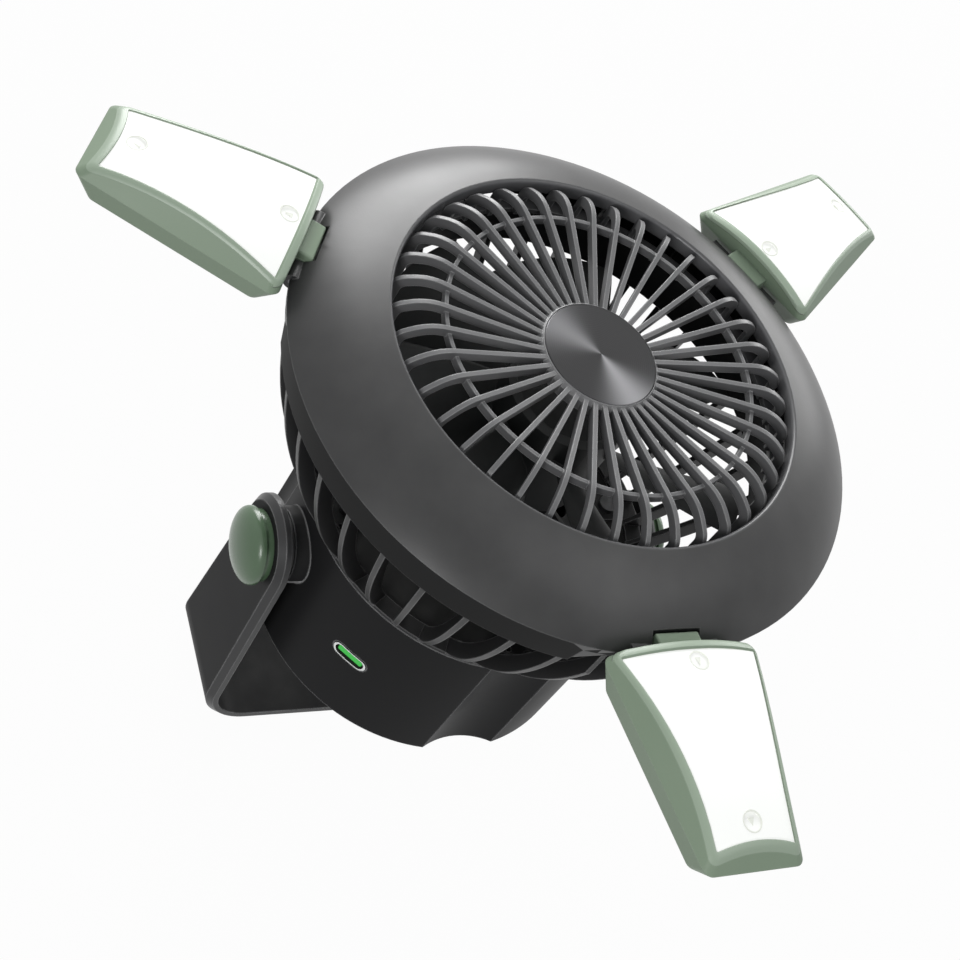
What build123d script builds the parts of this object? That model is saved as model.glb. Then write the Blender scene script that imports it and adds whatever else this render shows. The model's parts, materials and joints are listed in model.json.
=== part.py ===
from build123d import *
import math
import os

# Portable camping fan with three fold-out light panels on a tilting strap stand.
# Millimetres, +Z up. The origin is on the table under the middle of the stand.
# At rest the fan's axis is Z and the tilt axis runs along Y.

# ------------------------------------------------------------------ driving sizes
# Stand
pad_height = 0.6
pad_recess = 0.5
pad_size = (27.0, 13.0)
pad_corner = 3.0
pad_spacing = 68.0
strap_thickness = 3.3
strap_span = 116.4
strap_bend_radius = 14.8
strap_foot_width = 34.2
strap_tip_width = 27.4
strap_edge_chamfer = 1.7
pivot_height = 71.2

# Pivot
pivot_boss_radius = 11.0
pivot_boss_reach = 52.6
pivot_boss_taper = 0.8
pivot_sleeve_radius = 8.0
pivot_screw_radius = 2.5
pivot_screw_depth = 11.0
pivot_head_radius = 4.2
pivot_head_height = 2.2
pivot_cap_radius = 10.5
pivot_cap_stem_radius = 9.6
pivot_cap_stem = 3.0
pivot_cap_dome = 4.1
pivot_cap_rim = 0.7
pivot_washer_radius = 10.0

# Heights along the fan's axis, as depths below the front face
face_above_pivot = 88.0
battery_top_depth = 71.8
battery_bottom_depth = 119.3

# Front ring
opening_radius = 54.0
lip_round = 0.9
lip_depth = 4.0
ring_edge_radius = 75.9
ring_edge_depth = 11.8
ring_band_radius = 73.9
ring_band_depth = 21.7
ring_wall = 2.2
dome_rise = 1.8

# Front grille
hub_radius = 16.4
hub_thickness = 4.2
hub_bevel = 1.2
cap_disc_radius = 15.0
cap_disc_thickness = 1.0
cap_disc_proud = 0.1
cap_disc_chamfer = 0.2
grille_rib_count = 40
grille_rib_phase = 3.6
grille_rib_thickness = 1.25
grille_rib_height = 2.6
grille_rib_start = 0.4
grille_shoulder_depth = 1.4
grille_bend_radii = [12.0, 5.0]
grille_crown_radius = 46.5
grille_crown_rise = 3.3
grille_mid_ring_radius = 41.2
grille_mid_ring_width = 1.0
grille_mid_ring_height = 2.2
grille_mid_ring_rise = 1.4
grille_foot_depth = 9.0
grille_foot_height = 1.5

# Rear basket
fin_count = 39
fin_thickness = 1.5
fin_width = 5.0
fin_belly_radius = 66.6
fin_belly_depth = 49.5
fin_belly_lift = 1.5
fin_seat = 0.6
duct_radius = 55.6
duct_wall = 1.8
duct_height = 14.0
basket_rim_wall = 2.0
basket_rim_height = 5.4
basket_arm_height = 4.5
basket_foot_height = 1.2
basket_foot_wall = 5.0

# Ring fixing screws
ring_boss_count = 6
ring_screw_head = (2.6, 1.5)
ring_screw_shank = 1.2
ring_screw_length = 7.0
ring_boss_circle = 64.0
ring_boss_radius = 3.0
ring_pad_thickness = 2.4
ring_pad_width = 8.8

# Battery housing
battery_radius = 48.8
battery_wall = 2.4
housing_chamfer = 0.7
flute_depth = 3.9
flute_radius = 22.6
deck_thickness = 2.4
cover_thickness = 2.4
post_radius = 3.0
post_count = 4
post_circle = 39.6
web_thickness = 1.6
deck_screw_radius = 1.25
deck_screw_head = (2.6, 1.5)
deck_screw_length = 8.0
tab_width = 9.0
tab_inset = 1.0

# Batteries and electronics
cell_radius = 9.1
cell_length = 65.0
cell_count = 3
cell_gap = 0.5
cell_nub_height = 1.2
cell_nub_radius = cell_radius / 3
holder_wall = 1.2
holder_floor = 0.6
port_angle = -51.0
port_depth = 94.5
port_outline = (10.6, 4.1)
port_opening = (9.2, 3.4)
port_tongue = (6.7, 0.7)
port_flange = 3.0
port_root = 3.0
shell_length = 9.0
shell_wall = 0.3
shell_sink = 1.3
tongue_sink = 1.4
board_thickness = 1.6
board_size = (52.0, 36.0)
board_tail = 2.0
board_pad_size = (15.0, 6.0)
chip_size = (9.0, 1.2)
chip_offset = -8.0
choke_size = (7.0, 3.6)
choke_offset = 9.0
chip_row_length = 8.0
cell_plug_size = (4.0, 4.2)
cell_plug_offset = 12.0
cell_plug_back = 6.0
cell_plug_length = 7.0

# Push buttons on the back
button_radius = 4.8
button_proud = 0.7
button_travel = 0.6
button_depths = (88.0, 103.0)
button_flange = 1.0
button_flange_thickness = 0.8
button_round = 0.5
button_stem_radius = 1.5
button_stem_gap = 0.1
button_board_thickness = 0.8
button_board_width = 16.0
button_board_margin = 13.0
switch_size = 5.0
switch_height = 0.6

# Motor and impeller
motor_seat_depth = 46.0
motor_foot_radius = 15.0
pedestal_shoulder = 6.0
pedestal_bore = 8.0
pedestal_wall = 2.2
pedestal_neck = 0.8
gusset_count = 6
gusset_thickness = 1.6
gusset_root = 2.0
gusset_lean = 3.0
lead_hole_circle = 24.0
lead_hole_radius = 3.0
lead_hole_angle = 90
bearing_tube_radius = 5.4
bearing_radius = 4.0
bearing_width = 3.0
bearing_shoulder = 1.0
bearing_seat_drop = 1.0
bearing_tube_proud = 2.0
shaft_radius = 1.5
shaft_boss_radius = 4.5
shaft_clip_proud = 0.9
shaft_tail = 2.0
air_gap = 0.35
stator_height = 12.0
stator_teeth = 9
yoke = 2.0
shoe_depth = 1.2
tooth_width = 1.6
coil_width = 3.2
magnet_thickness = 1.6
magnet_inset = 1.0
rotor_wall = 1.2
rotor_height = 18.0
impeller_hub_radius = 17.0
impeller_hub_wall = 1.6
impeller_hub_bevel = 1.5
impeller_top_depth = 15.0
impeller_hub_height = 30.0
blade_count = 7
blade_tip_radius = 53.2
blade_root_chord = 19.0
blade_tip_chord = 38.0
blade_root_pitch = 46.0
blade_tip_pitch = 27.0
blade_thickness = 1.6
blade_sweep = 9.0
blade_middle_sweep = 3.0
blade_middle_flatten = 3.0
blade_root_sink = 4.0
blade_trim = 1.0
chord_per_camber = 12

# Light panels
panel_count = 3
panel_root_x = 76.1
panel_length = 53.2
panel_root_width = 42.0
panel_tip_width = 26.2
panel_split_depth = 9.8
panel_back_depth = 16.1
panel_back_inset = (3.4, 2.4, 1.0, 4.1)
panel_crest_depth = 2.0
panel_crest_inset = (1.5, 4.4, 4.4, 8.0)
panel_corner = 2.4
lens_corner = 0.5
panel_rim = 1.0
panel_floor = 2.2
crown_root_depth = 4.8
crown_tip_depth = 7.5
crown_bow = 2.65
crown_cross_radius = 59.0
lens_thickness = 1.6
lens_proud = 0.35
lens_ledge = 2.4
lens_screws_x = (81.4, 119.6)
lens_screw_head = (2.4, 0.6)
lens_screw_shank = 1.0
lens_screw_sink = 0.5
lens_screw_length = 6.0
lens_post_radius = 3.2
led_board_thickness = 1.2
led_size = 2.8
led_height = 0.7
led_grid = (5, 2)
led_spacing = (7.6, 14.0)

# Panel hinge
hinge_x = 74.2
hinge_depth = 12.2
hinge_radius = 2.3
hinge_barrel_width = 12.0
hinge_ear_width = 5.4
hinge_pin_radius = 1.0
hinge_neck_trim = 0.2
pocket_floor_x = 70.0
pocket_wall = 2.2
pocket_lift = 0.1

# Clearances
fit_gap = 0.15
running_gap = 0.06
hinge_side_gap = 0.45
swing_gap = 0.3
press_gap = 0.02
# How far a cutting solid runs past what it cuts
beyond = 10.0

# Placing a rectangle by the middle of one side
outward = (Align.MIN, Align.CENTER)
upward = (Align.CENTER, Align.MIN)

# ------------------------------------------------------------------ worked-out places
face_height = pivot_height + face_above_pivot
fin_pitch = 360 / fin_count
ring_screw_places = []
for sector in range(ring_boss_count):
    # Each screw stands midway between two fins
    steps = math.floor((sector + 0.5) * 360 / ring_boss_count / fin_pitch) + 0.5
    turn = math.radians(steps * fin_pitch)
    ring_screw_places.append((ring_boss_circle * math.cos(turn), ring_boss_circle * math.sin(turn)))
ring_pad_places = [Location((x, y), math.degrees(math.atan2(y, x))) for x, y in ring_screw_places]


def level(depth):
    """Height above the table of a place this far below the front face."""
    return face_height - depth


def arc_middle(start, end, rise):
    """Middle of an arc that rises to the left of the line from start to end."""
    run = end[0] - start[0]
    climb = end[1] - start[1]
    length = math.hypot(run, climb)
    middle_x = (start[0] + end[0]) / 2 - climb / length * rise
    middle_z = (start[1] + end[1]) / 2 + run / length * rise
    return (middle_x, middle_z)


def finish(part, name):
    """Label a finished piece and write its STEP file."""
    part.label = name
    export_step(part, f"parts/{name}.step")
    print(f"{name:28s} solids {len(part.solids()):3d}  volume {part.volume:10.1f}")


os.makedirs("parts", exist_ok=True)

# ------------------------------------------------------------------ stand
arm_outside = strap_span / 2
arm_inside = arm_outside - strap_thickness
tip_radius = strap_tip_width / 2
arm_top = pivot_height + tip_radius

with BuildPart() as stand_bracket:
    # U-shaped strap seen along X
    with BuildSketch(Plane.YZ):
        with BuildLine():
            outer = FilletPolyline(
                (-arm_outside, arm_top),
                (-arm_outside, pad_height),
                (arm_outside, pad_height),
                (arm_outside, arm_top),
                radius=strap_bend_radius,
            )
            inner = FilletPolyline(
                (-arm_inside, arm_top),
                (-arm_inside, pad_height + strap_thickness),
                (arm_inside, pad_height + strap_thickness),
                (arm_inside, arm_top),
                radius=strap_bend_radius - strap_thickness,
            )
            Line(outer @ 0, inner @ 0)
            Line(outer @ 1, inner @ 1)
        make_face()
    extrude(amount=strap_foot_width / 2, both=True)
    # Arms taper to round ends about the pivot
    with BuildSketch(Plane.XZ):
        with BuildLine():
            Polyline(
                (-strap_foot_width / 2, 0),
                (strap_foot_width / 2, 0),
                (tip_radius, pivot_height),
                (-tip_radius, pivot_height),
                close=True,
            )
        make_face()
        with Locations((0, pivot_height)):
            Circle(tip_radius)
    extrude(amount=strap_span, both=True, mode=Mode.INTERSECT)
    # Broken edge all round the outside face
    skin = stand_bracket.faces().filter_by(Axis.Y).sort_by(Axis.Y)
    outer_skin = [skin[0], skin[-1]]
    outer_skin += [stand_bracket.faces().filter_by(Axis.Z).sort_by(Axis.Z)[0]]
    low_bends = [
        face
        for face in stand_bracket.faces().filter_by(GeomType.CYLINDER)
        if face.center().Z < pivot_height / 2
    ]
    outer_skin += [
        bend for bend in low_bends if abs(bend.radius - strap_bend_radius) < strap_thickness / 2
    ]
    rim_edges = [edge for face in outer_skin for edge in face.edges()]
    shared = [edge for edge in rim_edges if sum(edge.is_same(other) for other in rim_edges) > 1]
    rim_edges = [edge for edge in rim_edges if not any(edge.is_same(other) for other in shared)]
    chamfer(rim_edges, strap_edge_chamfer)
    # Holes for the pivot screws
    with BuildSketch(Plane.XZ):
        with Locations((0, pivot_height)):
            Circle(pivot_screw_radius + running_gap)
    extrude(amount=strap_span, both=True, mode=Mode.SUBTRACT)
    # Recesses for the foot pads
    with BuildSketch(Plane.XY):
        with GridLocations(0, pad_spacing, 1, 2):
            RectangleRounded(pad_size[0] + 2 * fit_gap, pad_size[1] + 2 * fit_gap, pad_corner + fit_gap)
    extrude(amount=pad_height + pad_recess, mode=Mode.SUBTRACT)
finish(stand_bracket.part, "stand_bracket")

with BuildPart() as foot_pads:
    with BuildSketch(Plane.XY):
        with GridLocations(0, pad_spacing, 1, 2):
            RectangleRounded(pad_size[0], pad_size[1], pad_corner)
    extrude(amount=pad_height + pad_recess)
finish(foot_pads.part, "foot_pads")

# ------------------------------------------------------------------ pivot
pivot_axis = Axis((0, 0, pivot_height), (0, 1, 0))
cap_rim = arm_outside + pivot_cap_stem

with BuildPart() as pivot_cap:
    # Half section of the domed cap, turned about the pivot axis
    with BuildSketch(Plane.YZ):
        with BuildLine():
            dome = EllipticalCenterArc(
                (cap_rim, pivot_height), pivot_cap_dome, pivot_cap_radius, start_angle=0, arc_size=90
            )
            under_rim = Polyline(
                dome @ 1,
                (cap_rim - pivot_cap_rim, pivot_height + pivot_cap_radius),
                (cap_rim - pivot_cap_rim, pivot_height + pivot_cap_stem_radius),
                (arm_outside, pivot_height + pivot_cap_stem_radius),
                (arm_outside, pivot_height + pivot_head_radius + fit_gap),
                (arm_outside + pivot_head_height + fit_gap, pivot_height + pivot_head_radius + fit_gap),
                (arm_outside + pivot_head_height + fit_gap, pivot_height),
                dome @ 0,
            )
        make_face()
    revolve(axis=pivot_axis)

finish(pivot_cap.part, "right_pivot_cap")
finish(pivot_cap.part.mirror(Plane.XZ), "left_pivot_cap")

with BuildPart() as pivot_screws:
    with BuildSketch(Plane.XZ.offset(-arm_outside)):
        with Locations((0, pivot_height)):
            Circle(pivot_head_radius)
    extrude(amount=-pivot_head_height)
    with BuildSketch(Plane.XZ.offset(-arm_outside)):
        with Locations((0, pivot_height)):
            Circle(pivot_screw_radius)
    extrude(amount=arm_outside - pivot_boss_reach + pivot_screw_depth)
    mirror(about=Plane.XZ)
finish(pivot_screws.part, "pivot_screws")

with BuildPart() as friction_washers:
    with BuildSketch(Plane.XZ.offset(-arm_inside)):
        with Locations((0, pivot_height)):
            Circle(pivot_washer_radius)
            Circle(pivot_screw_radius + running_gap, mode=Mode.SUBTRACT)
    extrude(amount=arm_inside - pivot_boss_reach - swing_gap / 2)
    mirror(about=Plane.XZ)
finish(friction_washers.part, "friction_washers")

# ------------------------------------------------------------------ front ring
dome_start = (opening_radius + lip_round, level(0))
dome_end = (ring_edge_radius, level(ring_edge_depth))
inner_dome_start = (opening_radius + ring_wall, level(ring_wall))
inner_dome_end = (ring_edge_radius - ring_wall, level(ring_edge_depth + ring_wall / 2))
band_foot = (ring_band_radius, level(ring_band_depth))
barrel_half = hinge_barrel_width / 2
slot_half = barrel_half + hinge_side_gap
ear_end = slot_half + hinge_ear_width
pocket_half = panel_root_width / 2 + 2 * hinge_side_gap
pocket_top = level(hinge_depth + hinge_radius - pocket_lift)
pocket_reach = ring_edge_radius - pocket_floor_x + beyond
slot_back_x = hinge_x - hinge_radius - 2 * swing_gap
slot_reach = ring_edge_radius - slot_back_x + beyond
hinge_height = level(hinge_depth)

with BuildPart() as panel_pocket:
    # Space that a folded panel lies in
    with BuildSketch(Plane.XY.offset(level(ring_band_depth + fin_belly_depth))):
        with Locations((pocket_floor_x, 0)):
            Rectangle(pocket_reach, 2 * pocket_half, align=outward)
    extrude(amount=pocket_top - level(ring_band_depth + fin_belly_depth))
    # Slot for the hinge barrel
    with BuildSketch(Plane.XY.offset(level(ring_band_depth))):
        with Locations((slot_back_x, 0)):
            Rectangle(slot_reach, 2 * slot_half, align=outward)
    extrude(amount=ring_band_depth + beyond)

with BuildPart() as hinge_block:
    # Filled part of the ring that carries one panel's hinge
    with BuildSketch(Plane.XZ):
        with BuildLine():
            ThreePointArc(dome_start, arc_middle(dome_start, dome_end, dome_rise), dome_end)
            Polyline(
                dome_end,
                band_foot,
                (opening_radius + lip_round, level(ring_band_depth)),
                dome_start,
            )
        make_face()
    revolve(axis=Axis.Z)
    with BuildSketch(Plane.XY.offset(level(ring_band_depth))):
        with Locations((pocket_floor_x - pocket_wall, 0)):
            Rectangle(beyond, 2 * (pocket_half + pocket_wall), align=outward)
    extrude(amount=ring_band_depth, mode=Mode.INTERSECT)
    add(panel_pocket.part, mode=Mode.SUBTRACT)
    # Two ears hold the pin, one each side of the barrel
    for side in (-1, 1):
        with BuildSketch(Plane.XZ.offset(-side * slot_half)):
            with Locations((hinge_x, hinge_height)):
                Circle(hinge_radius)
        extrude(amount=-side * hinge_ear_width)

with BuildPart() as pin_bore:
    # Bore for the hinge pin, blind at both ends
    with BuildSketch(Plane.XZ):
        with Locations((hinge_x, hinge_height)):
            Circle(hinge_pin_radius + press_gap)
    extrude(amount=ear_end + press_gap, both=True)

with BuildPart() as front_ring:
    # Dome, lip and band as one turned shell
    with BuildSketch(Plane.XZ):
        with BuildLine():
            ThreePointArc(dome_start, arc_middle(dome_start, dome_end, dome_rise), dome_end)
            Polyline(
                dome_end,
                band_foot,
                (ring_band_radius - ring_wall, level(ring_band_depth)),
                inner_dome_end,
            )
            ThreePointArc(
                inner_dome_end,
                arc_middle(inner_dome_end, inner_dome_start, -dome_rise),
                inner_dome_start,
            )
            Polyline(
                inner_dome_start,
                (opening_radius + ring_wall, level(lip_depth)),
                (opening_radius, level(lip_depth)),
                (opening_radius, level(lip_round)),
            )
            RadiusArc((opening_radius, level(lip_round)), dome_start, lip_round)
        make_face()
    revolve(axis=Axis.Z)
    # Bosses for the fixing screws
    with BuildSketch(Plane.XY.offset(level(ring_band_depth - ring_pad_thickness))):
        with Locations(*ring_screw_places):
            Circle(ring_boss_radius)
    extrude(until=Until.NEXT)
    with BuildSketch(Plane.XY.offset(level(ring_band_depth - ring_pad_thickness))):
        with Locations(*ring_screw_places):
            Circle(ring_screw_shank + press_gap)
    extrude(amount=ring_screw_length, mode=Mode.SUBTRACT)
    with PolarLocations(0, panel_count):
        add(panel_pocket.part, mode=Mode.SUBTRACT)
    with PolarLocations(0, panel_count):
        add(hinge_block.part)
    with PolarLocations(0, panel_count):
        add(pin_bore.part, mode=Mode.SUBTRACT)
finish(front_ring.part, "front_ring")

# ------------------------------------------------------------------ grille
grille_edge = opening_radius - fit_gap
duct_middle = duct_radius + duct_wall / 2
hub_edge = (hub_radius, level(hub_bevel))

with BuildPart() as front_grille:
    # Hub with a bevelled rim and a recess for the metal disc
    with BuildSketch(Plane.XZ):
        with BuildLine():
            Polyline(
                (0, level(cap_disc_thickness)),
                (cap_disc_radius + fit_gap, level(cap_disc_thickness)),
                (cap_disc_radius + fit_gap, level(0)),
                (hub_radius - hub_bevel, level(0)),
                hub_edge,
                (hub_radius, level(hub_thickness)),
                (0, level(hub_thickness)),
                close=True,
            )
        make_face()
    revolve(axis=Axis.Z)
    # One rib arched from the hub to the foot ring, repeated around the hub
    with BuildSketch(Plane.XZ):
        with BuildLine():
            rib_top = FilletPolyline(
                (cap_disc_radius + 2 * fit_gap, level(grille_rib_start)),
                (grille_crown_radius, level(-grille_crown_rise)),
                (grille_edge, level(grille_shoulder_depth)),
                (grille_edge, level(grille_foot_depth + grille_foot_height / 2)),
                radius=grille_bend_radii,
            )
            offset(amount=grille_rib_height, side=Side.RIGHT)
        make_face()
    rib = extrude(amount=grille_rib_thickness / 2, both=True, mode=Mode.PRIVATE)
    with PolarLocations(0, grille_rib_count, start_angle=grille_rib_phase):
        add(rib)
    # Thin ring through the ribs
    with BuildSketch(Plane.XY.offset(level(-grille_mid_ring_rise))):
        Circle(grille_mid_ring_radius + grille_mid_ring_width / 2)
        Circle(grille_mid_ring_radius - grille_mid_ring_width / 2, mode=Mode.SUBTRACT)
    extrude(amount=-grille_mid_ring_height)
    # Foot ring that sits on the duct
    with BuildSketch(Plane.XY.offset(level(grille_foot_depth))):
        Circle(duct_middle)
        Circle(grille_edge - grille_rib_height / 2, mode=Mode.SUBTRACT)
    extrude(amount=-grille_foot_height)
finish(front_grille.part, "front_grille")

with BuildPart() as hub_cap:
    with BuildSketch(Plane.XY.offset(level(cap_disc_thickness))):
        Circle(cap_disc_radius)
    extrude(amount=cap_disc_thickness + cap_disc_proud)
    chamfer(hub_cap.edges().sort_by(Axis.Z)[-1], cap_disc_chamfer)
finish(hub_cap.part, "hub_cap")

# ------------------------------------------------------------------ rear basket
duct_top_depth = grille_foot_depth + grille_foot_height
duct_foot_depth = duct_top_depth + duct_height
arm_top_depth = duct_foot_depth - basket_arm_height
basket_rim_radius = ring_band_radius - ring_wall - fit_gap
rim_middle = basket_rim_radius - basket_rim_wall / 2
foot_top_depth = battery_top_depth - basket_foot_height
foot_inside = battery_radius - basket_foot_wall

with BuildPart() as fin_seats:
    # Slots that the fins are pressed into: duct and rim above, foot ring below
    with BuildSketch(Plane.XZ):
        with BuildLine():
            Polyline(
                (duct_middle - press_gap, level(arm_top_depth - press_gap)),
                (rim_middle + press_gap, level(arm_top_depth - press_gap)),
                (rim_middle + press_gap, level(duct_foot_depth + beyond)),
                (duct_middle - press_gap, level(duct_foot_depth + beyond)),
                close=True,
            )
        make_face()
        with BuildLine():
            Polyline(
                (foot_inside - press_gap, level(foot_top_depth - beyond)),
                (battery_radius + beyond, level(foot_top_depth - beyond)),
                (battery_radius + beyond, level(foot_top_depth + fin_seat + press_gap)),
                (foot_inside - press_gap, level(foot_top_depth + fin_seat + press_gap)),
                close=True,
            )
        make_face()
    seat = extrude(amount=fin_thickness / 2 + press_gap, both=True, mode=Mode.PRIVATE)
    with PolarLocations(0, fin_count):
        add(seat)

with BuildPart() as hinge_room:
    # Room for the hinge blocks and the folded panels
    with PolarLocations(0, panel_count):
        add(panel_pocket.part)
    with BuildSketch(Plane.XY.offset(level(ring_band_depth + swing_gap))):
        with PolarLocations(pocket_floor_x - pocket_wall - swing_gap, panel_count):
            Rectangle(beyond, 2 * (pocket_half + pocket_wall + swing_gap), align=outward)
    extrude(amount=ring_band_depth)

with BuildPart() as rear_basket:
    # Duct around the impeller
    with BuildSketch(Plane.XY.offset(level(duct_foot_depth))):
        Circle(duct_radius + duct_wall)
        Circle(duct_radius, mode=Mode.SUBTRACT)
    extrude(amount=duct_height)
    # Rim that nests inside the ring's band
    with BuildSketch(Plane.XY.offset(level(ring_band_depth))):
        Circle(basket_rim_radius)
        Circle(basket_rim_radius - basket_rim_wall, mode=Mode.SUBTRACT)
    extrude(amount=basket_rim_height)
    # Pads between duct and rim that take the ring screws
    with BuildSketch(Plane.XY.offset(level(ring_band_depth))):
        with Locations(*ring_pad_places):
            Rectangle(basket_rim_radius - duct_radius - duct_wall, ring_pad_width)
    extrude(amount=ring_pad_thickness)
    with BuildSketch(Plane.XY.offset(level(ring_band_depth))):
        with Locations(*ring_screw_places):
            Circle(ring_screw_shank + fit_gap)
    extrude(amount=ring_pad_thickness, mode=Mode.SUBTRACT)
    add(fin_seats.part, mode=Mode.SUBTRACT)
    add(hinge_room.part, mode=Mode.SUBTRACT)
finish(rear_basket.part, "rear_basket")

with BuildPart() as basket_fins:
    # One curved fin with its arm to the duct, repeated around the axis
    with BuildSketch(Plane.XZ):
        with BuildLine():
            fin_outside = Bezier(
                (ring_band_radius - 2 * fit_gap, level(ring_band_depth + press_gap)),
                (fin_belly_radius, level(fin_belly_depth)),
                (battery_radius, level(foot_top_depth)),
            )
            fin_foot = Polyline(
                fin_outside @ 1,
                (battery_radius, level(foot_top_depth + fin_seat)),
                (foot_inside, level(foot_top_depth + fin_seat)),
                (foot_inside, level(foot_top_depth)),
            )
            fin_inside = Bezier(
                fin_foot @ 1,
                (fin_belly_radius - fin_width, level(fin_belly_depth - fin_belly_lift)),
                (ring_band_radius - fin_width, level(duct_foot_depth)),
            )
            Polyline(
                fin_inside @ 1,
                (duct_middle, level(duct_foot_depth)),
                (duct_middle, level(arm_top_depth)),
                (rim_middle, level(arm_top_depth)),
                (rim_middle, level(ring_band_depth + press_gap)),
                fin_outside @ 0,
            )
        make_face()
    fin = extrude(amount=fin_thickness / 2, both=True, mode=Mode.PRIVATE)
    with PolarLocations(0, fin_count):
        add(fin)
    add(hinge_room.part, mode=Mode.SUBTRACT)
finish(basket_fins.part, "basket_fins")

with BuildPart() as basket_foot:
    # Foot ring on the battery housing, with a tab for each deck screw
    with BuildSketch(Plane.XY.offset(level(battery_top_depth))):
        Circle(battery_radius)
        Circle(foot_inside, mode=Mode.SUBTRACT)
        with PolarLocations(post_circle, post_count):
            SlotOverall(2 * (battery_radius - tab_inset - post_circle), tab_width)
    extrude(amount=basket_foot_height)
    with BuildSketch(Plane.XY.offset(level(battery_top_depth))):
        with PolarLocations(post_circle, post_count):
            Circle(deck_screw_radius + fit_gap)
    extrude(amount=basket_foot_height, mode=Mode.SUBTRACT)
    add(fin_seats.part, mode=Mode.SUBTRACT)
finish(basket_foot.part, "basket_foot")

with BuildPart() as ring_screws:
    with BuildSketch(Plane.XY.offset(level(ring_band_depth))):
        with Locations(*ring_screw_places):
            Circle(ring_screw_head[0])
    extrude(amount=-ring_screw_head[1])
    with BuildSketch(Plane.XY.offset(level(ring_band_depth))):
        with Locations(*ring_screw_places):
            Circle(ring_screw_shank)
    extrude(amount=ring_screw_length)
finish(ring_screws.part, "ring_screws")

# ------------------------------------------------------------------ battery housing
flute_axis_radius = battery_radius - flute_depth + flute_radius
housing_height = battery_bottom_depth - battery_top_depth
cover_top_depth = battery_bottom_depth - cover_thickness
deck_foot_depth = battery_top_depth + deck_thickness
inside_radius = battery_radius - battery_wall
port_half_height = port_opening[1] / 2 - fit_gap
post_pitch = 360 / post_count
web_count = post_count - 1
web_span = 360 - post_pitch
web_length = inside_radius - post_circle + battery_wall / 2
cross_wall_width = 2 * math.sqrt(inside_radius**2 - post_circle**2) + battery_wall / 2

with BuildSketch() as body_outline:
    Circle(battery_radius)
    with PolarLocations(flute_axis_radius, panel_count):
        Circle(flute_radius, mode=Mode.SUBTRACT)

with BuildSketch() as cavity_outline:
    Circle(inside_radius)
    with PolarLocations(flute_axis_radius, panel_count):
        Circle(flute_radius + battery_wall, mode=Mode.SUBTRACT)

with BuildSketch() as lid_outline:
    Circle(inside_radius - fit_gap)
    with PolarLocations(flute_axis_radius, panel_count):
        Circle(flute_radius + battery_wall + fit_gap, mode=Mode.SUBTRACT)


def port_plane(distance):
    """Plane across the charging port, this far from the fan's axis."""
    turn = math.radians(port_angle)
    return Plane(
        origin=(distance * math.cos(turn), distance * math.sin(turn), level(port_depth)),
        x_dir=(-math.sin(turn), math.cos(turn), 0),
        z_dir=(math.cos(turn), math.sin(turn), 0),
    )


with BuildPart() as battery_housing:
    with BuildSketch(Plane.XY.offset(level(battery_bottom_depth))):
        add(body_outline.sketch)
    extrude(amount=housing_height)
    chamfer(battery_housing.faces().sort_by(Axis.Z)[0].edges(), housing_chamfer)
    # Pivot bosses, solid right through until the cavity is cut
    with BuildSketch(Plane.YZ):
        with BuildLine():
            Polyline(
                (-pivot_boss_reach, pivot_height),
                (-pivot_boss_reach, pivot_height + pivot_boss_radius - pivot_boss_taper),
                (0, pivot_height + pivot_boss_radius),
                (pivot_boss_reach, pivot_height + pivot_boss_radius - pivot_boss_taper),
                (pivot_boss_reach, pivot_height),
                close=True,
            )
        make_face()
    revolve(axis=pivot_axis)
    with BuildSketch(Plane.XY.offset(level(battery_bottom_depth))):
        add(cavity_outline.sketch)
    extrude(amount=housing_height, mode=Mode.SUBTRACT)
    # Four posts for the deck and cover screws, each webbed to the wall
    with BuildSketch(Plane.XY.offset(level(cover_top_depth))):
        with PolarLocations(post_circle, post_count):
            Circle(post_radius)
        with PolarLocations(post_circle, web_count, start_angle=-post_pitch, angular_range=web_span):
            Rectangle(web_length, web_thickness, align=outward)
        # Cross wall behind the buttons
        with Locations((-post_circle, 0)):
            Rectangle(web_thickness, cross_wall_width)
        add(body_outline.sketch, mode=Mode.INTERSECT)
    extrude(amount=cover_top_depth - deck_foot_depth)
    # Thick sleeves inside the wall for the pivot screws
    with BuildSketch(Plane.XZ.offset(-inside_radius)):
        with Locations((0, pivot_height)):
            Circle(pivot_sleeve_radius)
    sleeve = extrude(amount=inside_radius - pivot_boss_reach + pivot_screw_depth)
    mirror(sleeve, about=Plane.XZ)
    with BuildSketch(Plane.XZ):
        with Locations((0, pivot_height)):
            Circle(pivot_screw_radius + running_gap)
    extrude(amount=strap_span, both=True, mode=Mode.SUBTRACT)
    # Screw holes in the posts
    with BuildSketch(Plane.XY.offset(level(deck_foot_depth))):
        with PolarLocations(post_circle, post_count):
            Circle(deck_screw_radius + press_gap)
    extrude(amount=-(deck_screw_length - deck_thickness - basket_foot_height), mode=Mode.SUBTRACT)
    with BuildSketch(Plane.XY.offset(level(cover_top_depth))):
        with PolarLocations(post_circle, post_count):
            Circle(deck_screw_radius + press_gap)
    extrude(amount=deck_screw_length - cover_thickness + deck_screw_head[1], mode=Mode.SUBTRACT)
    # Opening for the charging port
    with BuildSketch(port_plane(post_circle)):
        SlotOverall(port_outline[0] + 2 * fit_gap, port_outline[1] + 2 * fit_gap)
    extrude(amount=battery_radius, mode=Mode.SUBTRACT)
    # Holes for the two buttons
    with BuildSketch(Plane.YZ):
        with Locations(*[(0, level(depth)) for depth in button_depths]):
            Circle(button_radius + swing_gap)
    extrude(amount=-(battery_radius + beyond), mode=Mode.SUBTRACT)
finish(battery_housing.part, "battery_housing")

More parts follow.
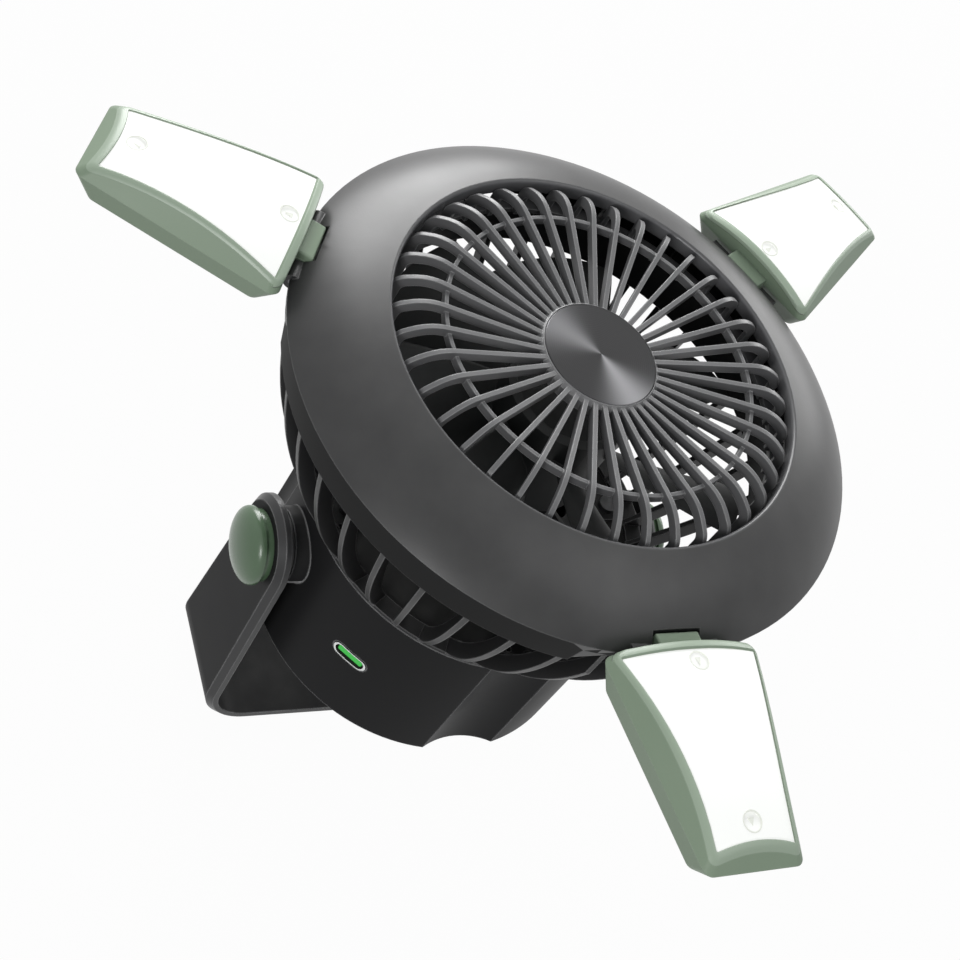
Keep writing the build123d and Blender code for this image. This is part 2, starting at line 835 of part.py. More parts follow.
with BuildPart() as base_cover:
    with BuildSketch(Plane.XY.offset(level(battery_bottom_depth))):
        add(lid_outline.sketch)
    extrude(amount=cover_thickness)
    with BuildSketch(Plane.XY.offset(level(battery_bottom_depth))):
        with PolarLocations(post_circle, post_count):
            Circle(deck_screw_head[0] + fit_gap)
    extrude(amount=deck_screw_head[1], mode=Mode.SUBTRACT)
    with BuildSketch(Plane.XY.offset(level(cover_top_depth))):
        with PolarLocations(post_circle, post_count):
            Circle(deck_screw_radius + fit_gap)
    extrude(amount=-cover_thickness, mode=Mode.SUBTRACT)
finish(base_cover.part, "base_cover")

with BuildPart() as base_screws:
    with BuildSketch(Plane.XY.offset(level(battery_bottom_depth))):
        with PolarLocations(post_circle, post_count):
            Circle(deck_screw_head[0])
    extrude(amount=deck_screw_head[1])
    with BuildSketch(Plane.XY.offset(level(battery_bottom_depth - deck_screw_head[1]))):
        with PolarLocations(post_circle, post_count):
            Circle(deck_screw_radius)
    extrude(amount=deck_screw_length)
finish(base_screws.part, "base_screws")

with BuildPart() as deck_screws:
    with BuildSketch(Plane.XY.offset(level(foot_top_depth))):
        with PolarLocations(post_circle, post_count):
            Circle(deck_screw_head[0])
    extrude(amount=deck_screw_head[1])
    with BuildSketch(Plane.XY.offset(level(foot_top_depth))):
        with PolarLocations(post_circle, post_count):
            Circle(deck_screw_radius)
    extrude(amount=-deck_screw_length)
finish(deck_screws.part, "deck_screws")

# ------------------------------------------------------------------ motor
tooth_angle = 360 / stator_teeth
tube_top_depth = motor_seat_depth - stator_height - bearing_tube_proud
tube_bore = bearing_radius + press_gap
lower_bearing_depth = motor_seat_depth + bearing_seat_drop
cup_outside = impeller_hub_radius - impeller_hub_wall - press_gap
magnet_outside = cup_outside - rotor_wall - press_gap
magnet_inside = magnet_outside - magnet_thickness
stator_outside = magnet_inside - air_gap
stator_inside = bearing_tube_radius + press_gap

with BuildPart() as motor_mount:
    with BuildSketch(Plane.XY.offset(level(deck_foot_depth))):
        add(lid_outline.sketch)
    extrude(amount=deck_thickness)
    # Gussets around the pedestal
    with BuildSketch(Plane.XZ):
        with BuildLine():
            Polyline(
                (motor_foot_radius - gusset_root, level(battery_top_depth)),
                (2 * motor_foot_radius, level(battery_top_depth)),
                (motor_foot_radius - gusset_lean, level(battery_top_depth - motor_foot_radius)),
                close=True,
            )
        make_face()
    gusset = extrude(amount=gusset_thickness / 2, both=True, mode=Mode.PRIVATE)
    with PolarLocations(0, gusset_count, start_angle=fin_pitch / 2):
        add(gusset)
    # Hollow pedestal with the bearing tube on top
    with BuildSketch(Plane.XZ):
        with BuildLine():
            Polyline(
                (0, level(battery_top_depth)),
                (motor_foot_radius, level(battery_top_depth)),
                (bearing_tube_radius + yoke, level(motor_seat_depth + pedestal_shoulder)),
                (bearing_tube_radius + yoke, level(motor_seat_depth)),
                (bearing_tube_radius, level(motor_seat_depth)),
                (bearing_tube_radius, level(tube_top_depth)),
                (0, level(tube_top_depth)),
                close=True,
            )
        make_face()
    revolve(axis=Axis.Z)
    with BuildSketch(Plane.XZ):
        with BuildLine():
            Polyline(
                (0, level(deck_foot_depth)),
                (motor_foot_radius - pedestal_wall, level(deck_foot_depth)),
                (motor_foot_radius - pedestal_wall, level(battery_top_depth)),
                (bearing_tube_radius + pedestal_neck, level(motor_seat_depth + pedestal_bore)),
                (tube_bore, level(motor_seat_depth + pedestal_bore)),
                (tube_bore, level(lower_bearing_depth)),
                (tube_bore - bearing_shoulder, level(lower_bearing_depth)),
                (tube_bore - bearing_shoulder, level(tube_top_depth + bearing_width)),
                (tube_bore, level(tube_top_depth + bearing_width)),
                (tube_bore, level(tube_top_depth)),
                (0, level(tube_top_depth)),
                close=True,
            )
        make_face()
    revolve(axis=Axis.Z, mode=Mode.SUBTRACT)
    # Screw holes and a hole for the motor leads
    with BuildSketch(Plane.XY.offset(level(deck_foot_depth))):
        with PolarLocations(post_circle, post_count):
            Circle(deck_screw_radius + fit_gap)
        with PolarLocations(lead_hole_circle, 1, start_angle=lead_hole_angle):
            Circle(lead_hole_radius)
    extrude(amount=deck_thickness, mode=Mode.SUBTRACT)
finish(motor_mount.part, "motor_mount")

with BuildPart() as motor_bearings:
    with BuildSketch(Plane.XY.offset(level(tube_top_depth + bearing_width))):
        Circle(bearing_radius)
        Circle(shaft_radius + running_gap, mode=Mode.SUBTRACT)
    extrude(amount=bearing_width)
    with BuildSketch(Plane.XY.offset(level(lower_bearing_depth + bearing_width))):
        Circle(bearing_radius)
        Circle(shaft_radius + running_gap, mode=Mode.SUBTRACT)
    extrude(amount=bearing_width)
finish(motor_bearings.part, "motor_bearings")

with BuildPart() as motor_stator:
    # Toothed core: yoke, nine teeth and their shoes
    with BuildSketch(Plane.XY.offset(level(motor_seat_depth))):
        Circle(stator_outside)
        Circle(stator_outside - shoe_depth, mode=Mode.SUBTRACT)
        with PolarLocations(stator_outside, stator_teeth, start_angle=tooth_angle / 2):
            Rectangle(4 * shoe_depth, tooth_width, mode=Mode.SUBTRACT)
        with PolarLocations((stator_outside + stator_inside) / 2, stator_teeth):
            Rectangle(stator_outside - stator_inside - shoe_depth, tooth_width)
        Circle(stator_inside + yoke)
        Circle(stator_inside, mode=Mode.SUBTRACT)
    extrude(amount=stator_height)
finish(motor_stator.part, "motor_stator")

coil_start = stator_inside + yoke + fit_gap
coil_end = stator_outside - shoe_depth - 2 * fit_gap
coil_middle = ((coil_start + coil_end) / 2, level(motor_seat_depth - stator_height / 2))

with BuildPart() as coil:
    # One winding around a tooth
    with BuildSketch(Plane.XZ):
        with Locations(coil_middle):
            Rectangle(coil_end - coil_start, stator_height + coil_width - tooth_width)
    extrude(amount=coil_width / 2, both=True)
    with BuildSketch(Plane.XZ):
        with Locations(coil_middle):
            Rectangle(coil_end - coil_start, stator_height)
    extrude(amount=tooth_width / 2, both=True, mode=Mode.SUBTRACT)

with BuildPart() as motor_coils:
    with PolarLocations(0, stator_teeth):
        add(coil.part)
finish(motor_coils.part, "motor_coils")

# ------------------------------------------------------------------ impeller
rotor_foot_depth = motor_seat_depth
rotor_top_depth = rotor_foot_depth - rotor_height
hub_top_under = impeller_top_depth + impeller_hub_wall
shaft_collar_depth = lower_bearing_depth + bearing_width

with BuildPart() as rotor_cup:
    with BuildSketch(Plane.XZ):
        with BuildLine():
            Polyline(
                (shaft_radius + press_gap, level(rotor_top_depth)),
                (cup_outside, level(rotor_top_depth)),
                (cup_outside, level(rotor_foot_depth)),
                (cup_outside - rotor_wall, level(rotor_foot_depth)),
                (cup_outside - rotor_wall, level(rotor_top_depth + rotor_wall)),
                (shaft_radius + press_gap, level(rotor_top_depth + rotor_wall)),
                close=True,
            )
        make_face()
    revolve(axis=Axis.Z)
finish(rotor_cup.part, "rotor_cup")

with BuildPart() as rotor_magnets:
    with BuildSketch(Plane.XY.offset(level(rotor_foot_depth - magnet_inset))):
        Circle(magnet_outside)
        Circle(magnet_inside, mode=Mode.SUBTRACT)
    extrude(amount=stator_height)
finish(rotor_magnets.part, "rotor_magnets")

with BuildPart() as motor_shaft:
    with BuildSketch(Plane.XZ):
        with BuildLine():
            Polyline(
                (0, level(hub_top_under)),
                (shaft_radius, level(hub_top_under)),
                (shaft_radius, level(shaft_collar_depth + swing_gap)),
                (shaft_radius + shaft_clip_proud, level(shaft_collar_depth + swing_gap)),
                (shaft_radius + shaft_clip_proud, level(shaft_collar_depth + 3 * swing_gap)),
                (shaft_radius, level(shaft_collar_depth + 3 * swing_gap)),
                (shaft_radius, level(shaft_collar_depth + shaft_tail)),
                (0, level(shaft_collar_depth + shaft_tail)),
                close=True,
            )
        make_face()
    revolve(axis=Axis.Z)
finish(motor_shaft.part, "motor_shaft")

blade_depth = impeller_top_depth + impeller_hub_height / 2


def blade_section(distance, chord, pitch, drift):
    """One cambered blade section on a plane this far from the fan's axis."""
    run = chord / 2 * math.cos(math.radians(pitch))
    rise = chord / 2 * math.sin(math.radians(pitch))
    back = (drift - run, rise)
    front = (drift + run, -rise)
    camber = chord / chord_per_camber
    crest = arc_middle(back, front, camber + blade_thickness / 2)
    hollow = arc_middle(back, front, camber - blade_thickness / 2)
    across = Plane(origin=(distance, 0, level(blade_depth)), x_dir=(0, 1, 0), z_dir=(1, 0, 0))
    with BuildSketch(across) as section:
        with BuildLine():
            ThreePointArc(back, crest, front)
            ThreePointArc(front, hollow, back)
        make_face()
    return section.sketch


blade_root = impeller_hub_radius - blade_root_sink
blade_middle = (blade_root + blade_tip_radius) / 2
middle_chord = (blade_root_chord + blade_tip_chord) / 2
middle_pitch = (blade_root_pitch + blade_tip_pitch) / 2 - blade_middle_flatten
blade_sections = [
    blade_section(blade_root, blade_root_chord, blade_root_pitch, 0),
    blade_section(blade_middle, middle_chord, middle_pitch, blade_middle_sweep),
    blade_section(blade_tip_radius + blade_trim, blade_tip_chord, blade_tip_pitch, blade_sweep),
]

with BuildPart() as impeller:
    # One cambered, swept blade, repeated around the hub
    blade = loft(blade_sections, mode=Mode.PRIVATE)
    with PolarLocations(0, blade_count):
        add(blade)
    with BuildSketch(Plane.XY.offset(level(impeller_top_depth + impeller_hub_height))):
        Circle(blade_tip_radius)
        Circle(impeller_hub_radius - impeller_hub_wall / 2, mode=Mode.SUBTRACT)
    extrude(amount=impeller_hub_height, mode=Mode.INTERSECT)
    # Hub cup with a boss for the shaft
    with BuildSketch(Plane.XZ):
        with BuildLine():
            Polyline(
                (0, level(impeller_top_depth)),
                (impeller_hub_radius - impeller_hub_bevel, level(impeller_top_depth)),
                (impeller_hub_radius, level(impeller_top_depth + impeller_hub_bevel)),
                (impeller_hub_radius, level(impeller_top_depth + impeller_hub_height)),
                (impeller_hub_radius - impeller_hub_wall, level(impeller_top_depth + impeller_hub_height)),
                (impeller_hub_radius - impeller_hub_wall, level(hub_top_under)),
                (shaft_boss_radius, level(hub_top_under)),
                (shaft_boss_radius, level(rotor_top_depth)),
                (shaft_radius + press_gap, level(rotor_top_depth)),
                (shaft_radius + press_gap, level(hub_top_under)),
                (0, level(hub_top_under)),
                close=True,
            )
        make_face()
    revolve(axis=Axis.Z)
finish(impeller.part, "impeller")

# ------------------------------------------------------------------ batteries and electronics
cell_axis_depth = cover_top_depth - holder_floor - cell_radius
cell_pitch = 2 * cell_radius + cell_gap
board_top_depth = port_depth + port_half_height
board_foot_depth = board_top_depth + board_thickness
port_face = battery_radius + fit_gap
shell_back = port_face - shell_sink - shell_length
shell_inset = fit_gap + shell_wall

with BuildPart() as battery_cells:
    with BuildSketch(Plane.YZ.offset(-cell_length / 2)):
        with Locations((0, level(cell_axis_depth))):
            with GridLocations(cell_pitch, 0, cell_count, 1):
                Circle(cell_radius - running_gap)
    extrude(amount=cell_length - cell_nub_height)
    with BuildSketch(Plane.YZ.offset(cell_length / 2 - cell_nub_height)):
        with Locations((0, level(cell_axis_depth))):
            with GridLocations(cell_pitch, 0, cell_count, 1):
                Circle(cell_nub_radius)
    extrude(amount=cell_nub_height)
finish(battery_cells.part, "battery_cells")

holder_length = cell_length + 2 * holder_wall
holder_width = cell_count * cell_pitch + 2 * holder_wall - cell_gap

with BuildPart() as cell_holder:
    with BuildSketch(Plane.XY.offset(level(cover_top_depth))):
        Rectangle(holder_length, holder_width)
    extrude(amount=cover_top_depth - cell_axis_depth)
    # End plates rise to carry the control board
    with BuildSketch(Plane.XY.offset(level(cover_top_depth))):
        with GridLocations(cell_length + holder_wall, 0, 2, 1):
            Rectangle(holder_wall, holder_width)
    extrude(amount=cover_top_depth - board_foot_depth)
    # Troughs for the cells
    with BuildSketch(Plane.YZ):
        with Locations((0, level(cell_axis_depth))):
            with GridLocations(cell_pitch, 0, cell_count, 1):
                Circle(cell_radius)
    extrude(amount=cell_length / 2, both=True, mode=Mode.SUBTRACT)
finish(cell_holder.part, "cell_holder")

board_end = shell_back + board_tail
board_centre = board_end - board_size[0] / 2

with BuildPart() as control_board:
    with BuildSketch(port_plane(0)):
        with Locations((0, -port_half_height - board_thickness / 2)):
            Rectangle(board_size[1], board_thickness)
    extrude(amount=board_end)
    with BuildSketch(port_plane(0)):
        with Locations((0, -port_half_height - board_thickness / 2)):
            Rectangle(board_size[1], board_thickness)
    extrude(amount=-(board_size[0] - board_end))
    # Parts soldered on the upper side
    with BuildSketch(port_plane(board_centre - chip_row_length)):
        with Locations((chip_offset, -port_half_height)):
            Rectangle(*chip_size, align=upward)
        with Locations((choke_offset, -port_half_height)):
            Rectangle(*choke_size, align=upward)
    extrude(amount=chip_row_length)
    with BuildSketch(port_plane(board_centre + cell_plug_back)):
        with Locations((-cell_plug_offset, -port_half_height), (cell_plug_offset, -port_half_height)):
            Rectangle(*cell_plug_size, align=upward)
    extrude(amount=cell_plug_length)
finish(control_board.part, "control_board")

with BuildPart() as board_pad:
    with BuildSketch(Plane.XY.offset(level(cell_axis_depth - cell_radius + running_gap))):
        with Locations((2 * fit_gap, 0)):
            Rectangle(*board_pad_size)
    extrude(amount=cell_axis_depth - cell_radius + running_gap - board_foot_depth)
finish(board_pad.part, "board_pad")

with BuildPart() as usb_flange:
    with BuildSketch(port_plane(inside_radius - port_root)):
        SlotOverall(port_outline[0] + port_flange, port_outline[1] + port_flange)
    extrude(amount=battery_wall + port_root)
    with BuildSketch(Plane.XY.offset(level(battery_bottom_depth))):
        Circle(inside_radius - press_gap)
    extrude(amount=housing_height, mode=Mode.INTERSECT)

with BuildPart() as usb_surround:
    with BuildSketch(port_plane(inside_radius - port_root)):
        SlotOverall(port_outline[0], port_outline[1])
    extrude(amount=battery_wall + port_root + port_flange)
    with BuildSketch(Plane.XY.offset(level(battery_bottom_depth))):
        Circle(port_face)
    extrude(amount=housing_height, mode=Mode.INTERSECT)
    add(usb_flange.part)
    with BuildSketch(port_plane(0)):
        SlotOverall(port_opening[0], port_opening[1])
    extrude(amount=battery_radius + beyond, mode=Mode.SUBTRACT)
finish(usb_surround.part, "usb_surround")

with BuildPart() as usb_shell:
    with BuildSketch(port_plane(shell_back)):
        SlotOverall(port_opening[0] - 2 * fit_gap, port_opening[1] - 2 * fit_gap)
    extrude(amount=shell_length)
    with BuildSketch(port_plane(shell_back + 2 * shell_wall)):
        SlotOverall(port_opening[0] - 2 * shell_inset, port_opening[1] - 2 * shell_inset)
    extrude(amount=shell_length, mode=Mode.SUBTRACT)
finish(usb_shell.part, "usb_shell")

with BuildPart() as usb_tongue:
    with BuildSketch(port_plane(shell_back + 2 * shell_wall)):
        Rectangle(port_tongue[0], port_tongue[1])
    extrude(amount=shell_length - tongue_sink)
finish(usb_tongue.part, "usb_tongue")

# ------------------------------------------------------------------ buttons
flange_face = math.sqrt(inside_radius**2 - (button_radius + button_flange) ** 2) - fit_gap
flange_back = flange_face - button_flange_thickness
board_face = post_circle + post_radius + button_board_thickness
stem_end = board_face + switch_height + button_travel + button_stem_gap

with BuildPart() as button_board:
    with BuildSketch(Plane.YZ.offset(-board_face)):
        with Locations((0, level((button_depths[0] + button_depths[1]) / 2))):
            Rectangle(button_board_width, button_depths[1] - button_depths[0] + button_board_margin)
    extrude(amount=button_board_thickness)
    with BuildSketch(Plane.YZ.offset(-board_face)):
        with Locations(*[(0, level(depth)) for depth in button_depths]):
            Rectangle(switch_size, switch_size)
    extrude(amount=-switch_height)
finish(button_board.part, "button_board")

for name, depth in zip(("fan_button", "light_button"), button_depths):
    with BuildPart() as button:
        with BuildSketch(Plane.YZ.offset(-flange_back)):
            with Locations((0, level(depth))):
                Circle(button_radius)
        extrude(amount=-(battery_radius + button_proud - flange_back))
        fillet(button.edges().sort_by(Axis.X)[0], button_round)
        with BuildSketch(Plane.YZ.offset(-flange_back)):
            with Locations((0, level(depth))):
                Circle(button_radius + button_flange)
        extrude(amount=-(flange_face - flange_back))
        with BuildSketch(Plane.YZ.offset(-stem_end)):
            with Locations((0, level(depth))):
                Circle(button_stem_radius)
        extrude(amount=-(flange_back - stem_end))
    finish(button.part, name)

# ------------------------------------------------------------------ light panels
crown_axis_depth = crown_root_depth + crown_cross_radius
panel_tip_x = panel_root_x + panel_length
cavity_floor_depth = panel_back_depth - panel_floor
root_half = panel_root_width / 2
tip_half = panel_tip_width / 2


def panel_outline(depth, inset, side_in):
    """Trapezoid with round corners: inset is (root, root side, tip side, tip)."""
    root_x = panel_root_x + inset[0] + side_in
    tip_x = panel_tip_x - inset[3] - side_in
    root_side = root_half - inset[1] - side_in
    tip_side = tip_half - inset[2] - side_in
    with BuildSketch(Plane.XY.offset(level(depth))) as outline:
        with BuildLine():
            Polyline(
                (root_x, -root_side),
                (tip_x, -tip_side),
                (tip_x, tip_side),
                (root_x, root_side),
                close=True,
            )
        make_face()
        fillet(outline.vertices(), lens_corner if side_in else panel_corner)
    return outline.sketch


def panel_shape(side_in):
    """Solid between the three outlines, drawn in all round by side_in."""
    with BuildPart() as shape:
        sections = [
            panel_outline(panel_back_depth, panel_back_inset, side_in),
            panel_outline(panel_split_depth, (0, 0, 0, 0), side_in),
            panel_outline(panel_crest_depth, panel_crest_inset, side_in),
        ]
        loft(sections, ruled=True)
    return shape.part


def crown_shape(lift):
    """Barrel-shaped solid whose top is the panel's double-curved face, lifted by lift."""
    root_top = (panel_root_x, level(crown_root_depth - lift))
    tip_top = (panel_tip_x, level(crown_tip_depth - lift))
    with BuildPart() as crown:
        with BuildSketch(Plane.XZ):
            with BuildLine():
                ThreePointArc(root_top, arc_middle(root_top, tip_top, crown_bow), tip_top)
                Polyline(
                    tip_top,
                    (panel_tip_x, level(crown_axis_depth)),
                    (panel_root_x, level(crown_axis_depth)),
                    root_top,
                )
            make_face()
        revolve(axis=Axis((0, 0, level(crown_axis_depth)), (1, 0, 0)))
    return crown.part


def crown_depth(x):
    """Depth of the crown's ridge at this distance from the fan's axis."""
    chord = math.hypot(panel_length, crown_tip_depth - crown_root_depth)
    along = (x - panel_root_x) / panel_length
    bow_radius = chord**2 / (8 * crown_bow) + crown_bow / 2
    offset_x = (along - 0.5) * chord
    rise = math.sqrt(bow_radius**2 - offset_x**2) - (bow_radius - crown_bow)
    return crown_root_depth + (crown_tip_depth - crown_root_depth) * along - rise


lens_bed = crown_shape(lens_proud - lens_thickness)
cavity_in = panel_rim + lens_ledge
neck_length = panel_root_x - hinge_x + cavity_in - hinge_neck_trim
screw_tops = [(x, crown_depth(x) - lens_proud + lens_screw_sink) for x in lens_screws_x]

with BuildPart() as lens_recess:
    # Space above the lens bed, inside the rim
    add(panel_shape(panel_rim))
    add(lens_bed, mode=Mode.SUBTRACT)

with BuildPart() as light_cavity:
    # Space for the lights, down to the floor
    add(panel_shape(cavity_in))
    with BuildSketch(Plane.XY.offset(level(cavity_floor_depth))):
        with Locations((panel_root_x, 0)):
            Rectangle(panel_length, panel_root_width, align=outward)
    extrude(amount=cavity_floor_depth, mode=Mode.INTERSECT)

with BuildPart() as lens_posts:
    # Screw posts with tops that follow the lens bed
    with BuildSketch(Plane.XY.offset(level(panel_back_depth - panel_floor / 2))):
        with Locations(*[(x, 0) for x in lens_screws_x]):
            Circle(lens_post_radius)
    extrude(amount=panel_back_depth)
    add(lens_bed, mode=Mode.INTERSECT)

with BuildPart() as panel_housing:
    add(panel_shape(0))
    add(crown_shape(0), mode=Mode.INTERSECT)
    add(lens_recess.part, mode=Mode.SUBTRACT)
    add(light_cavity.part, mode=Mode.SUBTRACT)
    add(lens_posts.part)
    for x, depth in screw_tops:
        with BuildSketch(Plane.XY.offset(level(depth))):
            with Locations((x, 0)):
                Circle(lens_screw_shank + press_gap)
        extrude(amount=-lens_screw_length, mode=Mode.SUBTRACT)
    # Hinge barrel and its neck
    with BuildSketch(Plane.XZ):
        with Locations((hinge_x, hinge_height)):
            Circle(hinge_radius)
            Rectangle(neck_length, 2 * hinge_radius, align=outward)
            Circle(hinge_pin_radius + running_gap, mode=Mode.SUBTRACT)
    extrude(amount=barrel_half, both=True)

with BuildPart() as panel_diffuser:
    add(panel_shape(panel_rim + fit_gap))
    add(crown_shape(lens_proud), mode=Mode.INTERSECT)
    add(lens_bed, mode=Mode.SUBTRACT)
    for x, depth in screw_tops:
        # Stepped hole: wide for the head, narrow for the shank
        with BuildSketch(Plane.XY.offset(level(depth + lens_screw_head[1]))):
            with Locations((x, 0)):
                Circle(lens_screw_head[0] + fit_gap)
        extrude(amount=lens_thickness, mode=Mode.SUBTRACT)
        with BuildSketch(Plane.XY.offset(level(depth + lens_screw_head[1]))):
            with Locations((x, 0)):
                Circle(lens_screw_shank + fit_gap)
        extrude(amount=-lens_thickness, mode=Mode.SUBTRACT)

with BuildPart() as panel_screws:
    for x, depth in screw_tops:
        with BuildSketch(Plane.XY.offset(level(depth))):
            with Locations((x, 0)):
                Circle(lens_screw_head[0])
        extrude(amount=-lens_screw_head[1])
        with BuildSketch(Plane.XY.offset(level(depth))):
            with Locations((x, 0)):
                Circle(lens_screw_shank)
        extrude(amount=-lens_screw_length)

with BuildPart() as panel_led_board:
    add(panel_shape(cavity_in + fit_gap))
    with BuildSketch(Plane.XY.offset(level(cavity_floor_depth))):
        with Locations((panel_root_x, 0)):
            Rectangle(panel_length, panel_root_width, align=outward)
    extrude(amount=led_board_thickness, mode=Mode.INTERSECT)
    with BuildSketch(Plane.XY.offset(level(cavity_floor_depth))):
        with Locations(*[(x, 0) for x in lens_screws_x]):
            Circle(lens_post_radius + fit_gap)
    extrude(amount=led_board_thickness, mode=Mode.SUBTRACT)
    # Two rows of lights
    with BuildSketch(Plane.XY.offset(level(cavity_floor_depth - led_board_thickness))):
        with Locations(((lens_screws_x[0] + lens_screws_x[1]) / 2, 0)):
            with GridLocations(led_spacing[0], led_spacing[1], *led_grid):
                Rectangle(led_size, led_size)
    extrude(amount=led_height)

with BuildPart() as panel_pin:
    with BuildSketch(Plane.XZ):
        with Locations((hinge_x, hinge_height)):
            Circle(hinge_pin_radius)
    extrude(amount=ear_end, both=True)

panel_pieces = {
    "housing": panel_housing.part,
    "diffuser": panel_diffuser.part,
    "screws": panel_screws.part,
    "led_board": panel_led_board.part,
    "pin": panel_pin.part,
}
for index in range(panel_count):
    for piece_name, piece in panel_pieces.items():
        with BuildPart() as placed:
            with Locations(Location((0, 0, 0), (0, 0, index * 360 / panel_count))):
                add(piece)
        finish(placed.part, f"panel_{index + 1}_{piece_name}")
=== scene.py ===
"""Looks of a portable camping fan: finishes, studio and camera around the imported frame."""

import json
import logging
import math
from collections.abc import Callable
from dataclasses import dataclass, field
from enum import Enum

import bmesh
import bpy
from mathutils import Matrix, Vector

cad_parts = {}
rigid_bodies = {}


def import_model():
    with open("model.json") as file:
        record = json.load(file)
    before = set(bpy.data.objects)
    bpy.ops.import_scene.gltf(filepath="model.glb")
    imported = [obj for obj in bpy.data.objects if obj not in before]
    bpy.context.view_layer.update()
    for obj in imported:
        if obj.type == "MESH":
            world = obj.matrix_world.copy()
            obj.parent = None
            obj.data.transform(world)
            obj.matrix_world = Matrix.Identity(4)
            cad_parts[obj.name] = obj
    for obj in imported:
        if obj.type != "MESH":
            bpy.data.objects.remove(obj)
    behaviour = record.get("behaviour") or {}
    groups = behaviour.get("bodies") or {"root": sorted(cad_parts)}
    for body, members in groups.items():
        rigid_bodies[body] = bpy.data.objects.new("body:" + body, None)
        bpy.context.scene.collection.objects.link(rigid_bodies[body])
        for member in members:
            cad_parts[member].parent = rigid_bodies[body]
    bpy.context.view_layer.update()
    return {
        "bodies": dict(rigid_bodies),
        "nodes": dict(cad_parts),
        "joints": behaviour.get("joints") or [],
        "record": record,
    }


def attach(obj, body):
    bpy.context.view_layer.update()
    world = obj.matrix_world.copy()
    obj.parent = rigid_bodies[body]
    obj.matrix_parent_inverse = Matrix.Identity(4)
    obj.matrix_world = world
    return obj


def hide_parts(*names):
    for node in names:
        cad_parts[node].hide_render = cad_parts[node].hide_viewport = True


LOG = logging.getLogger("camping_fan")
MM = 0.001
PANELS = (1, 2, 3)
PANEL_STEP = 120.0  # degrees from one panel to the next
FRONT_FACE = 159.2  # height of the fan's front face above the table, in millimetres
ROUNDING_STEPS = 3  # faces across a rounded edge

Color = tuple[float, float, float]
Place = tuple[float, float, float]
Pair = tuple[float, float]
Insets = tuple[float, float, float, float]
Materials = dict[str, bpy.types.Material]
Socket = bpy.types.NodeSocket


class Shade(Enum):
    """How far neighbouring faces may turn and still look smooth, in degrees."""

    SMOOTH = 32.0
    CRISP = 18.0


class Facing(Enum):
    """Which way a soft box points."""

    KEY = "key"
    FRONT = "front"
    FILL = "fill"
    RIM = "rim"


# ---------------------------------------------------------------- node graphs


